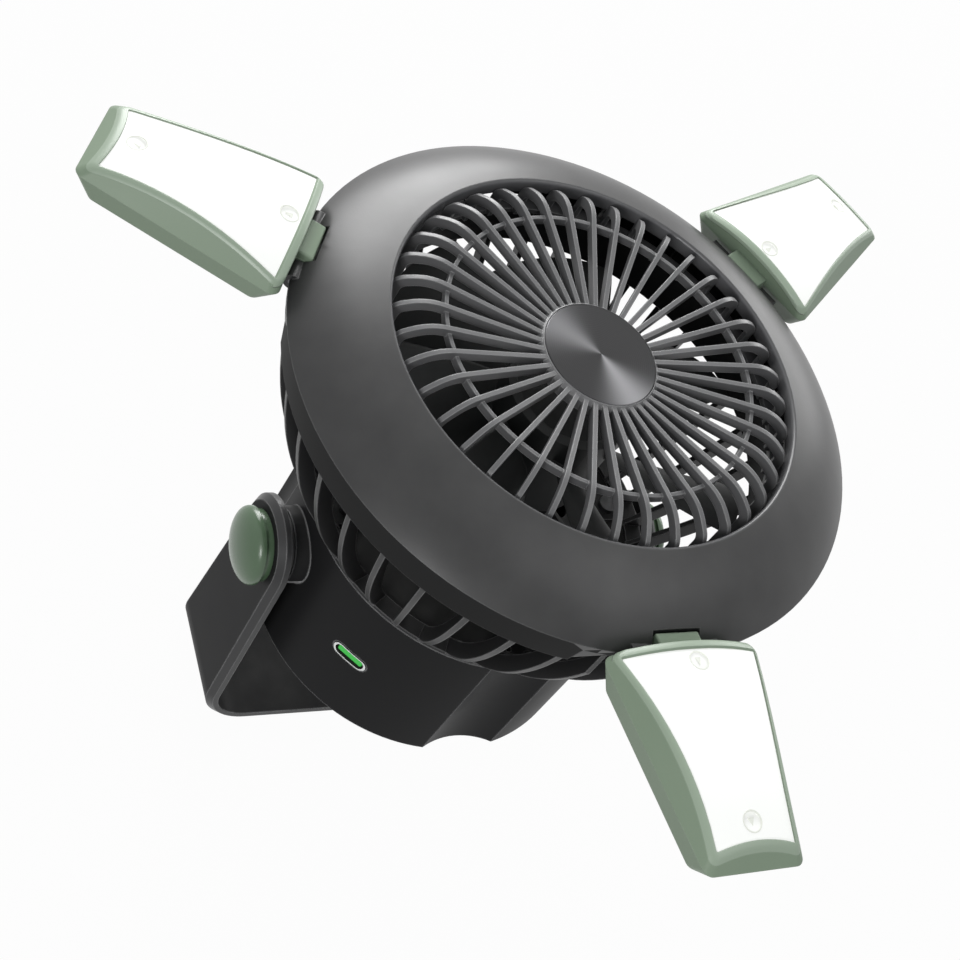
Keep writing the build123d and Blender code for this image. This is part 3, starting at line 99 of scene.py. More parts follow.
class Graph:
    """A node tree that is filled by short calls."""

    def __init__(self, tree: bpy.types.NodeTree) -> None:
        """Hold the tree.

        Args:
            tree: the node tree to fill.
        """
        self.tree = tree

    def add(self, kind: str, **settings: object) -> bpy.types.Node:
        """Add one node.

        Args:
            kind: Blender's node type.
            settings: attributes to set on the node.

        Returns:
            The new node.
        """
        node = self.tree.nodes.new(kind)
        for name, value in settings.items():
            setattr(node, name, value)
        return node

    def find(self, kind: str) -> bpy.types.Node:
        """Return the tree's first node of a type."""
        return next(node for node in self.tree.nodes if node.bl_idname == kind)

    def link(self, source: Socket, target: Socket) -> None:
        """Join an output socket to an input socket."""
        self.tree.links.new(source, target)

    def feed(self, target: Socket, value: object) -> None:
        """Give an input socket its value.

        Args:
            target: the input socket.
            value: a socket to link, a colour or a number.
        """
        if isinstance(value, Socket):
            self.link(value, target)
        elif isinstance(value, tuple):
            target.default_value = (*value, 1.0)
        else:
            target.default_value = value

    def math(
        self, operation: str, first: object, second: object = 0.0, clamp: bool = False
    ) -> Socket:
        """Add a Math node.

        Args:
            operation: Blender's name of the operation.
            first: a socket or a number.
            second: a socket or a number.
            clamp: whether the result stays between 0 and 1.

        Returns:
            The node's output socket.
        """
        node = self.add("ShaderNodeMath", operation=operation, use_clamp=clamp)
        for index, value in enumerate((first, second)):
            self.feed(node.inputs[index], value)
        return node.outputs[0]

    def mix(self, factor: object, first: object, second: object) -> Socket:
        """Mix two colours.

        Args:
            factor: a socket or a number from 0 to 1.
            first: a socket or a colour at factor 0.
            second: a socket or a colour at factor 1.

        Returns:
            The mixed colour's socket.
        """
        node = self.add("ShaderNodeMix", data_type="RGBA")
        targets = (node.inputs["Factor"], node.inputs[6], node.inputs[7])
        for target, value in zip(targets, (factor, first, second)):
            self.feed(target, value)
        return node.outputs[2]

    def spread(self, value: Socket, low: float, high: float) -> Socket:
        """Map a value from 0..1 to low..high.

        Args:
            value: the socket to map.
            low: the result at 0.
            high: the result at 1.

        Returns:
            The mapped value's socket.
        """
        node = self.add("ShaderNodeMapRange")
        self.link(value, node.inputs["Value"])
        node.inputs["To Min"].default_value = low
        node.inputs["To Max"].default_value = high
        return node.outputs["Result"]

    def noise(self, scale: object, detail: float = 2.0) -> Socket:
        """Add a noise texture over the piece's own coordinates.

        Args:
            scale: a socket or a number of features per metre.
            detail: octaves.

        Returns:
            The noise value's socket.
        """
        node = self.add("ShaderNodeTexNoise")
        self.link(self.add("ShaderNodeTexCoord").outputs["Object"], node.inputs["Vector"])
        self.feed(node.inputs["Scale"], scale)
        node.inputs["Detail"].default_value = detail
        return node.outputs["Fac"]

    def swing(self, noise: Socket, amount: Socket) -> Socket:
        """Turn a noise value into a swing about zero, as large as the amount."""
        return self.math("MULTIPLY", self.math("SUBTRACT", noise, 0.5), amount)

    def bump(self, height: Socket, strength: float, depth: float) -> bpy.types.Node:
        """Add a Bump node.

        Args:
            height: the socket with the relief.
            strength: how strong the relief is.
            depth: how deep it is, in metres.

        Returns:
            The node.
        """
        node = self.add("ShaderNodeBump")
        node.inputs["Strength"].default_value = strength
        node.inputs["Distance"].default_value = depth
        self.link(height, node.inputs["Height"])
        return node

    def from_axis(self) -> tuple[Socket, bpy.types.Node]:
        """Measure from the piece's Z axis.

        Returns:
            The distance from the axis, and the node that splits the place into X, Y and Z.
        """
        split = self.add("ShaderNodeSeparateXYZ")
        self.link(self.add("ShaderNodeTexCoord").outputs["Object"], split.inputs[0])
        flat = self.add("ShaderNodeCombineXYZ")
        self.link(split.outputs["X"], flat.inputs["X"])
        self.link(split.outputs["Y"], flat.inputs["Y"])
        length = self.add("ShaderNodeVectorMath", operation="LENGTH")
        self.link(flat.outputs[0], length.inputs[0])
        return length.outputs["Value"], split

    def seen(self) -> Socket:
        """Tell the rays that show a surface from those that carry its light.

        Returns:
            1 for camera, transmission and glossy rays, and 0 for all others.
        """
        path = self.add("ShaderNodeLightPath").outputs
        shown = self.math("ADD", path["Is Camera Ray"], path["Is Transmission Ray"], clamp=True)
        return self.math("ADD", shown, path["Is Glossy Ray"], clamp=True)

    def blend(self, factor: Socket, first: Socket, second: Socket) -> Socket:
        """Mix two shaders.

        Args:
            factor: the share of the second shader.
            first: the shader at factor 0.
            second: the shader at factor 1.

        Returns:
            The mixed shader's socket.
        """
        node = self.add("ShaderNodeMixShader")
        for target, source in zip(node.inputs, (factor, first, second)):
            self.link(source, target)
        return node.outputs[0]


def new_group(name: str, inputs: dict[str, str], outputs: dict[str, str]) -> Graph:
    """Start a shader node group.

    Args:
        name: the group's name.
        inputs: names of its inputs, and Color or Float for each.
        outputs: names of its outputs, and Color or Float for each.

    Returns:
        A graph to fill the group's tree.
    """
    tree = bpy.data.node_groups.new(name, "ShaderNodeTree")
    for side, sockets in (("INPUT", inputs), ("OUTPUT", outputs)):
        for label, kind in sockets.items():
            tree.interface.new_socket(name=label, in_out=side, socket_type=f"NodeSocket{kind}")
    return Graph(tree)


@dataclass
class SharedEffects:
    """Node groups that several finishes place with their own values.

    Attributes:
        bevel_samples: samples of the nodes that round edges over.
        mottle_scale: soft clouds of tone per metre.
        edge_turns: cosines of the turn at an edge where rubbing and its painted highlight start and where
            they are full.
        rub_and_highlight_scale: rubbed and highlighted patches per metre.
        rub_and_highlight_least: the share of rubbing and highlight that is left between them.
        dust_scale: patches of dust per metre.
        dust_color: the dust's colour.
        ring_least: height of the grooves of a turned disc, where its ridges are at 1.
        painted_sheen_angles: where a turned disc has its bright and its faint painted sheen, in radians.
        painted_sheen_shares: how strong they are.
        painted_sheen_power: how narrow they are.
        grain: the group with the moulded grain.
        wear_and_highlight: the group with the rubbed edges and their painted highlights.
        dust: the group with the veil of dust.
        turning_and_painted_sheen: the group with the tool rings and the painted sheen.
        lip: the group with the band around an opening, which carries its polish and its painted highlight.
    """

    bevel_samples: int = 4
    mottle_scale: float = 38.0
    edge_turns: Pair = (0.99, 0.89)
    rub_and_highlight_scale: float = 160.0
    rub_and_highlight_least: float = 0.35
    dust_scale: float = 90.0
    dust_color: Color = (0.62, 0.62, 0.60)
    ring_least: float = 0.5
    painted_sheen_angles: Pair = (0.35, -2.27)
    painted_sheen_shares: Pair = (0.85, 0.5)
    painted_sheen_power: float = 9.0
    grain: bpy.types.NodeTree | None = None
    wear_and_highlight: bpy.types.NodeTree | None = None
    dust: bpy.types.NodeTree | None = None
    turning_and_painted_sheen: bpy.types.NodeTree | None = None
    lip: bpy.types.NodeTree | None = None

    def build(self) -> None:
        """Make the groups once."""
        self.grain = self._build_grain()
        self.wear_and_highlight = self._build_wear_and_highlight()
        self.dust = self._build_dust()
        self.turning_and_painted_sheen = self._build_turning_and_painted_sheen()
        self.lip = self._build_lip_polish_and_highlight()

    def _build_grain(self) -> bpy.types.NodeTree:
        """Fine spark-eroded grain with soft mottling.

        Returns:
            The group.
        """
        graph = new_group(
            "mould_grain",
            {"Color": "Color", "Scale": "Float", "Mottle": "Float", "Roughness": "Float", "Spread": "Float"},
            {"Color": "Color", "Roughness": "Float", "Height": "Float"},
        )
        given = graph.add("NodeGroupInput").outputs
        made = graph.add("NodeGroupOutput").inputs
        fine = graph.noise(given["Scale"], detail=3.0)
        broad = graph.noise(self.mottle_scale, detail=2.0)
        tone = graph.swing(broad, given["Mottle"])
        speck = graph.swing(fine, given["Mottle"])
        level = graph.math("ADD", 1.0, graph.math("ADD", tone, speck))
        shaded = graph.add("ShaderNodeVectorMath", operation="SCALE")
        graph.link(given["Color"], shaded.inputs[0])
        graph.link(level, shaded.inputs["Scale"])
        graph.link(shaded.outputs[0], made["Color"])
        gloss = graph.swing(broad, given["Spread"])
        graph.link(graph.math("ADD", given["Roughness"], gloss, clamp=True), made["Roughness"])
        graph.link(fine, made["Height"])
        return graph.tree

    def _build_wear_and_highlight(self) -> bpy.types.NodeTree:
        """Rubbed edges with painted edge highlights, from how far a rounded-over normal leaves the face.

        Returns:
            The group.
        """
        graph = new_group(
            "edge_wear_and_highlight",
            {"Color": "Color", "Worn": "Color", "Amount": "Float", "Width": "Float"},
            {"Color": "Color", "Mask": "Float"},
        )
        given = graph.add("NodeGroupInput").outputs
        graph.add("NodeGroupOutput")
        rounded = graph.add("ShaderNodeBevel", samples=self.bevel_samples)
        graph.link(given["Width"], rounded.inputs["Radius"])
        across = graph.add("ShaderNodeVectorMath", operation="DOT_PRODUCT")
        graph.link(rounded.outputs["Normal"], across.inputs[0])
        graph.link(graph.add("ShaderNodeNewGeometry").outputs["Normal"], across.inputs[1])
        edge = graph.add("ShaderNodeMapRange", clamp=True)
        for end, turn in zip(("From Min", "From Max"), self.edge_turns):
            edge.inputs[end].default_value = turn
        graph.link(across.outputs["Value"], edge.inputs["Value"])
        patch = graph.spread(graph.noise(self.rub_and_highlight_scale, detail=3.0), self.rub_and_highlight_least, 1.0)
        # The edge mask paints both real rubbing and the light lines of edge highlights.
        rubbed_and_highlight = graph.math("MULTIPLY", edge.outputs["Result"], patch)
        self._cover(graph, graph.math("MULTIPLY", rubbed_and_highlight, given["Amount"], clamp=True), given["Worn"])
        return graph.tree

    def _build_dust(self) -> bpy.types.NodeTree:
        """A thin veil of dust on faces that look up.

        Returns:
            The group.
        """
        graph = new_group(
            "dust_veil", {"Color": "Color", "Amount": "Float"}, {"Color": "Color", "Mask": "Float"}
        )
        given = graph.add("NodeGroupInput").outputs
        graph.add("NodeGroupOutput")
        split = graph.add("ShaderNodeSeparateXYZ")
        graph.link(graph.add("ShaderNodeNewGeometry").outputs["Normal"], split.inputs[0])
        upward = graph.math("MULTIPLY", split.outputs["Z"], 1.0, clamp=True)
        patchy = graph.math("MULTIPLY", upward, graph.noise(self.dust_scale, detail=4.0))
        self._cover(graph, graph.math("MULTIPLY", patchy, given["Amount"], clamp=True), self.dust_color)
        return graph.tree

    def _build_turning_and_painted_sheen(self) -> bpy.types.NodeTree:
        """Fine tool rings about the Z axis, as on a spun disc, with a painted fan-shaped sheen.

        Returns:
            The group.
        """
        graph = new_group("tool_rings_and_painted_sheen", {"Pitch": "Float"}, {"Rings": "Float", "PaintedSheen": "Float"})
        given = graph.add("NodeGroupInput").outputs
        made = graph.add("NodeGroupOutput").inputs
        distance, split = graph.from_axis()
        wave = graph.math("SINE", graph.math("DIVIDE", distance, given["Pitch"]))
        graph.link(graph.spread(wave, self.ring_least, 1.0), made["Rings"])
        around = graph.math("ARCTAN2", split.outputs["Y"], split.outputs["X"])
        # Both lobes are painted sheen, fixed on the disc by their angle.
        bright, faint = (
            graph.math("MULTIPLY", self._painted_sheen_lobe(graph, around, angle), share)
            for angle, share in zip(self.painted_sheen_angles, self.painted_sheen_shares)
        )
        graph.link(graph.math("ADD", bright, faint, clamp=True), made["PaintedSheen"])
        return graph.tree

    def _build_lip_polish_and_highlight(self) -> bpy.types.NodeTree:
        """A band around the Z axis that fades out between two distances, for a polish and a painted
        highlight.

        Returns:
            The group.
        """
        graph = new_group("lip_polish_and_painted_highlight", {"Start": "Float", "End": "Float"}, {"Mask": "Float"})
        given = graph.add("NodeGroupInput").outputs
        made = graph.add("NodeGroupOutput").inputs
        distance, _ = graph.from_axis()
        fade = graph.add("ShaderNodeMapRange", clamp=True, interpolation_type="SMOOTHSTEP")
        graph.link(distance, fade.inputs["Value"])
        graph.link(given["Start"], fade.inputs["From Max"])
        graph.link(given["End"], fade.inputs["From Min"])
        graph.link(fade.outputs["Result"], made["Mask"])
        return graph.tree

    def _cover(self, graph: Graph, mask: Socket, cover: object) -> None:
        """Put out a group's colour under a cover, and the cover's mask.

        Args:
            graph: the group's graph.
            mask: where the cover lies.
            cover: its colour, as a socket or a colour.
        """
        made = graph.find("NodeGroupOutput").inputs
        color = graph.find("NodeGroupInput").outputs["Color"]
        graph.link(graph.mix(mask, color, cover), made["Color"])
        graph.link(mask, made["Mask"])

    def _painted_sheen_lobe(self, graph: Graph, around: Socket, centre: float) -> Socket:
        """Make one fan-shaped painted sheen.

        Args:
            graph: the graph to fill.
            around: the angle about the disc's middle.
            centre: the sheen's own angle, in radians.

        Returns:
            The sheen's strength.
        """
        near = graph.math("COSINE", graph.math("SUBTRACT", around, centre))
        return graph.math("POWER", graph.math("MAXIMUM", near, 0.0), self.painted_sheen_power)


EFFECTS = SharedEffects()


def place_group(graph: Graph, tree: bpy.types.NodeTree, **values: object) -> bpy.types.Node:
    """Place a shared group and set its inputs.

    Args:
        graph: the graph to place it in.
        tree: the shared group.
        values: input names, and a socket, a colour or a number for each.

    Returns:
        The group node.
    """
    node = graph.add("ShaderNodeGroup", node_tree=tree)
    for name, value in values.items():
        graph.feed(node.inputs[name], value)
    return node


def new_material(name: str) -> tuple[bpy.types.Material, Graph, bpy.types.Node]:
    """Start a material with one Principled BSDF.

    Args:
        name: the material's name.

    Returns:
        The material, a graph to fill it and its shader node.
    """
    material = bpy.data.materials.new(name)
    material.use_nodes = True
    material.node_tree.nodes.clear()
    graph = Graph(material.node_tree)
    shader = graph.add("ShaderNodeBsdfPrincipled")
    graph.link(shader.outputs[0], graph.add("ShaderNodeOutputMaterial").inputs["Surface"])
    return material, graph, shader


# ---------------------------------------------------------------- finishes


def grey(level: float) -> Color:
    """Return a neutral colour."""
    return (level, level, level)


def toned(color: Color, share: float) -> Color:
    """Return a lighter or darker colour, no part of it above 1."""
    return tuple(min(part * share, 1.0) for part in color)


@dataclass(frozen=True)
class Moulding:
    """Injection-moulded plastic with a fine grain.

    Attributes:
        name: the material's name.
        color: the plastic's colour.
        worn_and_highlight: the colour of rubbed edges, light enough to paint their highlights.
        roughness: how matt it is.
        gloss_spread: how far the roughness wanders.
        grain: grains per metre.
        relief: strength of the grain.
        depth: depth of the grain, in metres.
        mottle: how much the tone wanders.
        wear_and_highlight: how far the edges are rubbed and painted light.
        dust: how dusty the upper faces are.
        specular: strength of the gloss.
        edge: radius of the broken edges, in metres.
        wear_and_highlight_width: how far the rubbing and its painted highlight reach from an edge, in
            metres.
    """

    name: str
    color: Color
    worn_and_highlight: Color
    roughness: float = 0.5
    gloss_spread: float = 0.12
    grain: float = 2600.0
    relief: float = 0.05
    depth: float = 0.0002
    mottle: float = 0.06
    wear_and_highlight: float = 0.5
    dust: float = 0.05
    specular: float = 0.5
    edge: float = 0.0004
    wear_and_highlight_width: float = 0.0005

    def make(self) -> bpy.types.Material:
        """Build the material.

        Returns:
            The material.
        """
        material, graph, shader = new_material(self.name)
        grain = place_group(
            graph, EFFECTS.grain, Color=self.color, Scale=self.grain, Mottle=self.mottle,
            Roughness=self.roughness, Spread=self.gloss_spread,
        )
        # Rubbed edges, whose light colour also stands in for edge highlights.
        wear_and_highlight = place_group(
            graph, EFFECTS.wear_and_highlight, Color=grain.outputs["Color"], Worn=self.worn_and_highlight,
            Amount=self.wear_and_highlight, Width=self.wear_and_highlight_width,
        )
        dust = place_group(graph, EFFECTS.dust, Color=wear_and_highlight.outputs["Color"], Amount=self.dust)
        graph.link(dust.outputs["Color"], shader.inputs["Base Color"])
        graph.link(grain.outputs["Roughness"], shader.inputs["Roughness"])
        bump = graph.bump(grain.outputs["Height"], self.relief, self.depth)
        rounded = graph.add("ShaderNodeBevel", samples=EFFECTS.bevel_samples)
        rounded.inputs["Radius"].default_value = self.edge
        graph.link(rounded.outputs["Normal"], bump.inputs["Normal"])
        graph.link(bump.outputs["Normal"], shader.inputs["Normal"])
        shader.inputs["Specular IOR Level"].default_value = self.specular
        return material


@dataclass(frozen=True)
class RingMoulding(Moulding):
    """The ring's moulding, with a polished lip around its opening that has a painted highlight in its
    colour.

    Attributes:
        lip_start: distance from the axis where the polish and the painted highlight start to fade, in
            metres.
        lip_end: distance where it has gone.
        lip_painted_highlight: how many times lighter the lip is painted, as a highlight.
        lip_polish: how much less rough it is.
    """

    lip_start: float = 0.0539
    lip_end: float = 0.0553
    lip_painted_highlight: float = 6.0
    lip_polish: float = 0.16

    def make(self) -> bpy.types.Material:
        """Build the material.

        Returns:
            The material.
        """
        material = super().make()
        graph = Graph(material.node_tree)
        base, roughness = (
            graph.find("ShaderNodeBsdfPrincipled").inputs[name] for name in ("Base Color", "Roughness")
        )
        lip = place_group(graph, EFFECTS.lip, Start=self.lip_start, End=self.lip_end).outputs["Mask"]
        # The lip's lighter colour is a painted highlight; its lower roughness is real polish.
        painted_lip_highlight = toned(self.color, self.lip_painted_highlight)
        graph.link(graph.mix(lip, base.links[0].from_socket, painted_lip_highlight), base)
        drop = graph.math("MULTIPLY", lip, self.lip_polish)
        dull = roughness.links[0].from_socket
        graph.link(graph.math("SUBTRACT", dull, drop, clamp=True), roughness)
        return material


@dataclass(frozen=True)
class SpunDisc:
    """A metal disc with fine tool rings and conical highlights painted into its colour.

    Attributes:
        name: the material's name.
        dark: its colour between the painted highlights.
        light: its colour in the painted highlights.
        roughness: how matt it is.
        spread: how far the tool rings take the roughness down and up.
        pitch: distance from the axis per radian of the rings' wave, in metres.
        relief: strength of the rings.
        depth: depth of the rings, in metres.
        metallic: how much of it is bare metal.
    """

    name: str
    dark: Color
    light: Color
    roughness: float = 0.34
    spread: float = 0.05
    pitch: float = 0.00009
    relief: float = 0.12
    depth: float = 0.0001
    metallic: float = 0.85

    def make(self) -> bpy.types.Material:
        """Build the material.

        Returns:
            The material.
        """
        material, graph, shader = new_material(self.name)
        turned = place_group(graph, EFFECTS.turning_and_painted_sheen, Pitch=self.pitch).outputs
        # The colour turns light inside the painted sheen lobes.
        tone = graph.mix(turned["PaintedSheen"], self.dark, self.light)
        graph.link(tone, shader.inputs["Base Color"])
        low, high = self.roughness - self.spread, self.roughness + self.spread
        graph.link(graph.spread(turned["Rings"], low, high), shader.inputs["Roughness"])
        bump = graph.bump(turned["Rings"], self.relief, self.depth)
        graph.link(bump.outputs["Normal"], shader.inputs["Normal"])
        shader.inputs["Metallic"].default_value = self.metallic
        return material


@dataclass(frozen=True)
class LitDiffuser:
    """A frosted lens with light behind it.

    Attributes:
        name: the material's name.
        color: the lens's own colour.
        glow: strength of the light.
        light: the light's colour.
        clouds: soft clouds per metre.
        lighter: how many times lighter the lens is in a cloud.
        dimmer: the share of the light between clouds.
        frost: frosted grains per metre.
        roughness: roughness of the smoothest and the roughest grains.
    """

    name: str
    color: Color = (0.50, 0.51, 0.50)
    glow: float = 0.43
    light: Color = (1.0, 1.0, 0.96)
    clouds: float = 45.0
    lighter: float = 1.08
    dimmer: float = 0.95
    frost: float = 1500.0
    roughness: Pair = (0.42, 0.58)

    def make(self) -> bpy.types.Material:
        """Build the material.

        Returns:
            The material.
        """
        material, graph, shader = new_material(self.name)
        cloud = graph.noise(self.clouds, detail=1.0)
        bright = toned(self.color, self.lighter)
        graph.link(graph.mix(cloud, self.color, bright), shader.inputs["Base Color"])
        soft = toned(self.light, self.dimmer)
        graph.link(graph.mix(cloud, soft, self.light), shader.inputs["Emission Color"])
        shader.inputs["Emission Strength"].default_value = self.glow
        graph.link(graph.spread(graph.noise(self.frost), *self.roughness), shader.inputs["Roughness"])
        return material


@dataclass(frozen=True)
class BareMetal:
    """Bright or dull metal with fine brushing.

    Attributes:
        name: the material's name.
        color: the metal's colour.
        roughness: how matt it is.
        streaks: brushed streaks per metre.
        darker: the share of the colour between streaks.
        spread: how far the brushing takes the roughness down and up.
    """

    name: str
    color: Color
    roughness: float = 0.35
    streaks: float = 900.0
    darker: float = 0.75
    spread: Pair = (0.08, 0.1)

    def make(self) -> bpy.types.Material:
        """Build the material.

        Returns:
            The material.
        """
        material, graph, shader = new_material(self.name)
        streak = graph.noise(self.streaks, detail=4.0)
        dull = toned(self.color, self.darker)
        graph.link(graph.mix(streak, dull, self.color), shader.inputs["Base Color"])
        low, high = self.roughness - self.spread[0], self.roughness + self.spread[1]
        graph.link(graph.spread(streak, low, high), shader.inputs["Roughness"])
        shader.inputs["Metallic"].default_value = 1.0
        return material


EXTRA_FINISHES = {
    # The port's tongue is no lamp; its glow is painted light.
    "port_painted_glow": LitDiffuser("painted_glow_green", (0.03, 0.30, 0.04), 0.30, (0.03, 0.60, 0.07)),
    "cap_sage": Moulding(
        "cap_sage", (0.068, 0.121, 0.064), (0.24, 0.34, 0.23), 0.24, mottle=0.04, wear_and_highlight=0.3, specular=0.48,
    ),
    "ring_band": Moulding("ring_band", grey(0.016), grey(0.16), 0.5, wear_and_highlight=0.8, specular=0.02),
    "rim_sage": Moulding(
        "rim_sage", (0.255, 0.322, 0.240), (0.46, 0.53, 0.44), 0.36, mottle=0.04, wear_and_highlight=0.6, specular=0.5,
    ),
    # Slightly lighter than the satin black: the strap's chamfer band has real gloss and a painted highlight.
    "strap_edge_highlight": Moulding("strap_edge_highlight", (0.022, 0.022, 0.023), grey(0.30), 0.34, wear_and_highlight=0.8, specular=0.28),
    # A light band painted on the housing's lower edge as a highlight.
    "painted_edge_highlight": Moulding("painted_edge_highlight", grey(0.34), grey(0.50), 0.34, wear_and_highlight=0.8, specular=0.5),
    # Dimmer and darker than the lens: the raised rings and notches are real shapes, their dark lines are
    # painted shadow.
    "plug_mark_painted_shadow": LitDiffuser("plug_mark_painted_shadow", (0.42, 0.44, 0.39), 0.31),
    "seam_dark": Moulding(
        "seam_dark", (0.215, 0.272, 0.202), (0.10, 0.13, 0.10), 0.6, wear_and_highlight=0.1, specular=0.1,
    ),
}

SLOT_FINISHES = {
    "body_black": Moulding(
        "satin_black", (0.014, 0.014, 0.0145), grey(0.42), 0.40, wear_and_highlight=0.9, specular=0.035, wear_and_highlight_width=0.0008,
    ),
    "ring_charcoal": RingMoulding(
        "ring_charcoal", (0.017, 0.017, 0.0175), grey(0.22), 0.36, wear_and_highlight=0.6, specular=0.36,
    ),
    "basket_charcoal": Moulding(
        "basket_charcoal", (0.013, 0.013, 0.0135), grey(0.26), 0.40, wear_and_highlight=0.9, specular=0.16,
    ),
    "grille_grey": Moulding("grille_grey", (0.088, 0.088, 0.090), grey(0.42), 0.36, wear_and_highlight=0.6, specular=0.5),
    # Near black, far darker than the grey it is named for: painted shade deep inside the basket.
    "impeller_grey": Moulding("impeller_grey", (0.012, 0.013, 0.013), grey(0.06), 0.5, specular=0.2),
    "inner_black": Moulding("inner_black", grey(0.008), grey(0.04), 0.6, specular=0.15),
    "sage": Moulding(
        "sage_green", (0.196, 0.256, 0.182), (0.40, 0.47, 0.38), 0.40, mottle=0.04, wear_and_highlight=0.6, specular=0.18,
    ),
    # The hub's conical highlights are painted into this finish's colour.
    "spun_metal": SpunDisc("spun_disc_painted_sheen", (0.034, 0.034, 0.035), (0.30, 0.30, 0.31)),
    "diffuser": LitDiffuser("lit_diffuser"),
    "screw_white": LitDiffuser("lit_plug", (0.50, 0.51, 0.50), 0.42),
    "port_white": Moulding("port_white", (0.80, 0.82, 0.80), grey(0.9), 0.4, dust=0.0),
    "port_green": Moulding("port_green", (0.06, 0.42, 0.09), (0.2, 0.6, 0.2), 0.4, dust=0.0),
    "pad_rubber": Moulding("pad_rubber", grey(0.02), grey(0.06), 0.85, relief=0.2, wear_and_highlight=0.2),
    "washer_nylon": Moulding("washer_nylon", grey(0.05), grey(0.12), 0.55),
    "steel": BareMetal("blackened_steel", (0.16, 0.16, 0.165)),
    "core_steel": BareMetal("core_steel", (0.12, 0.12, 0.125), 0.5),
    "copper": BareMetal("enamelled_copper", (0.45, 0.20, 0.09), 0.4),
    "magnet": BareMetal("bonded_magnet", (0.10, 0.10, 0.105), 0.6),
    "cell_sleeve": Moulding("cell_sleeve", (0.07, 0.22, 0.42), (0.2, 0.4, 0.6), 0.35),
    "board_green": Moulding("board_green", (0.03, 0.20, 0.08), (0.3, 0.3, 0.2), 0.45),
    "board_white": Moulding("board_white", (0.80, 0.80, 0.78), (0.85, 0.85, 0.8), 0.5, dust=0.0),
}


# ---------------------------------------------------------------- tools for the pieces


def new_piece(mesh: bpy.types.Mesh) -> bpy.types.Object:
    """Put a mesh into the scene as an object of the same name.

    Args:
        mesh: the finished mesh.

    Returns:
        The new mesh object.
    """
    piece = bpy.data.objects.new(mesh.name, mesh)
    bpy.context.scene.collection.objects.link(piece)
    return piece


def panel_angle(number: int) -> float:
    """Return a panel's angle about the fan's axis, in degrees."""
    return PANEL_STEP * (number - 1)


def finish_faces(
    piece: bpy.types.Object, material: bpy.types.Material, chosen: Callable[[Vector, Vector], bool]
) -> None:
    """Give a second finish to some of a piece's faces.

    Args:
        piece: the mesh object.
        material: the second finish.
        chosen: says from a face's middle, in millimetres, and its normal whether it takes the finish.
    """
    piece.data.materials.append(material)
    index = len(piece.data.materials) - 1
    for face in piece.data.polygons:
        if chosen(face.center / MM, face.normal):
            face.material_index = index


def smooth_faces(piece: bpy.types.Object, shade: Shade) -> None:
    """Shade a piece smooth, with sharp edges where its faces turn.

    Args:
        piece: the mesh object.
        shade: the turn that still counts as smooth.
    """
    mesh = piece.data
    mesh.polygons.foreach_set("use_smooth", [True] * len(mesh.polygons))
    mesh.set_sharp_from_angle(angle=math.radians(shade.value))


def round_over(piece: bpy.types.Object, width: float) -> None:
    """Round a piece's edges.

    Args:
        piece: the mesh object.
        width: width of the rounding, in millimetres.
    """
    soften = piece.modifiers.new("round_over", "BEVEL")
    soften.width = width * MM
    soften.segments = ROUNDING_STEPS


def extruded(name: str, outline: list[Pair], half: float, turn: float) -> bpy.types.Object:
    """Extrude an outline in the X-Z plane along Y and turn it about Z.

    Args:
        name: the new object's name.
        outline: its corners as (distance from the axis, height), in millimetres.
        half: half the width along Y, in millimetres.
        turn: angle about Z, in degrees.

    Returns:
        The new mesh object.
    """
    shape = bmesh.new()
    near = [shape.verts.new((x * MM, -half * MM, z * MM)) for x, z in outline]
    face = shape.faces.new(near)
    made = bmesh.ops.extrude_face_region(shape, geom=[face])
    far = [item for item in made["geom"] if isinstance(item, bmesh.types.BMVert)]
    bmesh.ops.translate(shape, verts=far, vec=(0.0, 2 * half * MM, 0.0))
    bmesh.ops.recalc_face_normals(shape, faces=shape.faces)
    bmesh.ops.rotate(shape, verts=shape.verts, matrix=Matrix.Rotation(math.radians(turn), 3, "Z"))
    mesh = bpy.data.meshes.new(name)
    shape.to_mesh(mesh)
    shape.free()
    return new_piece(mesh)


def joined_loops(loops: int, count: int) -> list[tuple[int, int, int, int]]:
    """Join closed loops of points into one closed band.

    Args:
        loops: how many loops there are, the last next to the first.
        count: points in each loop.

    Returns:
        The corners of each face, as places in a list of all the loops' points.
    """
    faces = []
    for ring in range(loops):
        here, there = ring * count, (ring + 1) % loops * count
        for step in range(count):
            follow = (step + 1) % count
            faces.append((here + step, here + follow, there + follow, there + step))
    return faces


# ---------------------------------------------------------------- sub-assemblies


@dataclass
class SubAssembly:
    """Some of the fan's pieces that are dressed together.

    Attributes:
        title: what the pieces are, for the log.
        nodes: the pieces' names and how their faces meet.
        own: finishes of pieces that differ from their slot's.
    """

    title: str
    nodes: dict[str, Shade] = field(default_factory=dict)
    own: dict[str, str] = field(default_factory=dict)

    def dress(self, frame: dict, materials: Materials) -> None:
        """Give every piece its finish.

        Args:
            materials: the materials by slot.
        """
        slots = {part["node"]: part["material_slot"] for part in frame["record"]["subparts"]}
        for name, shade in self.nodes.items():
            piece = frame["nodes"][name]
            piece.data.materials.clear()
            piece.data.materials.append(materials[self.own.get(name, slots[name])])
            smooth_faces(piece, shade)
            LOG.info("%s: %s is %s", self.title, name, slots[name])


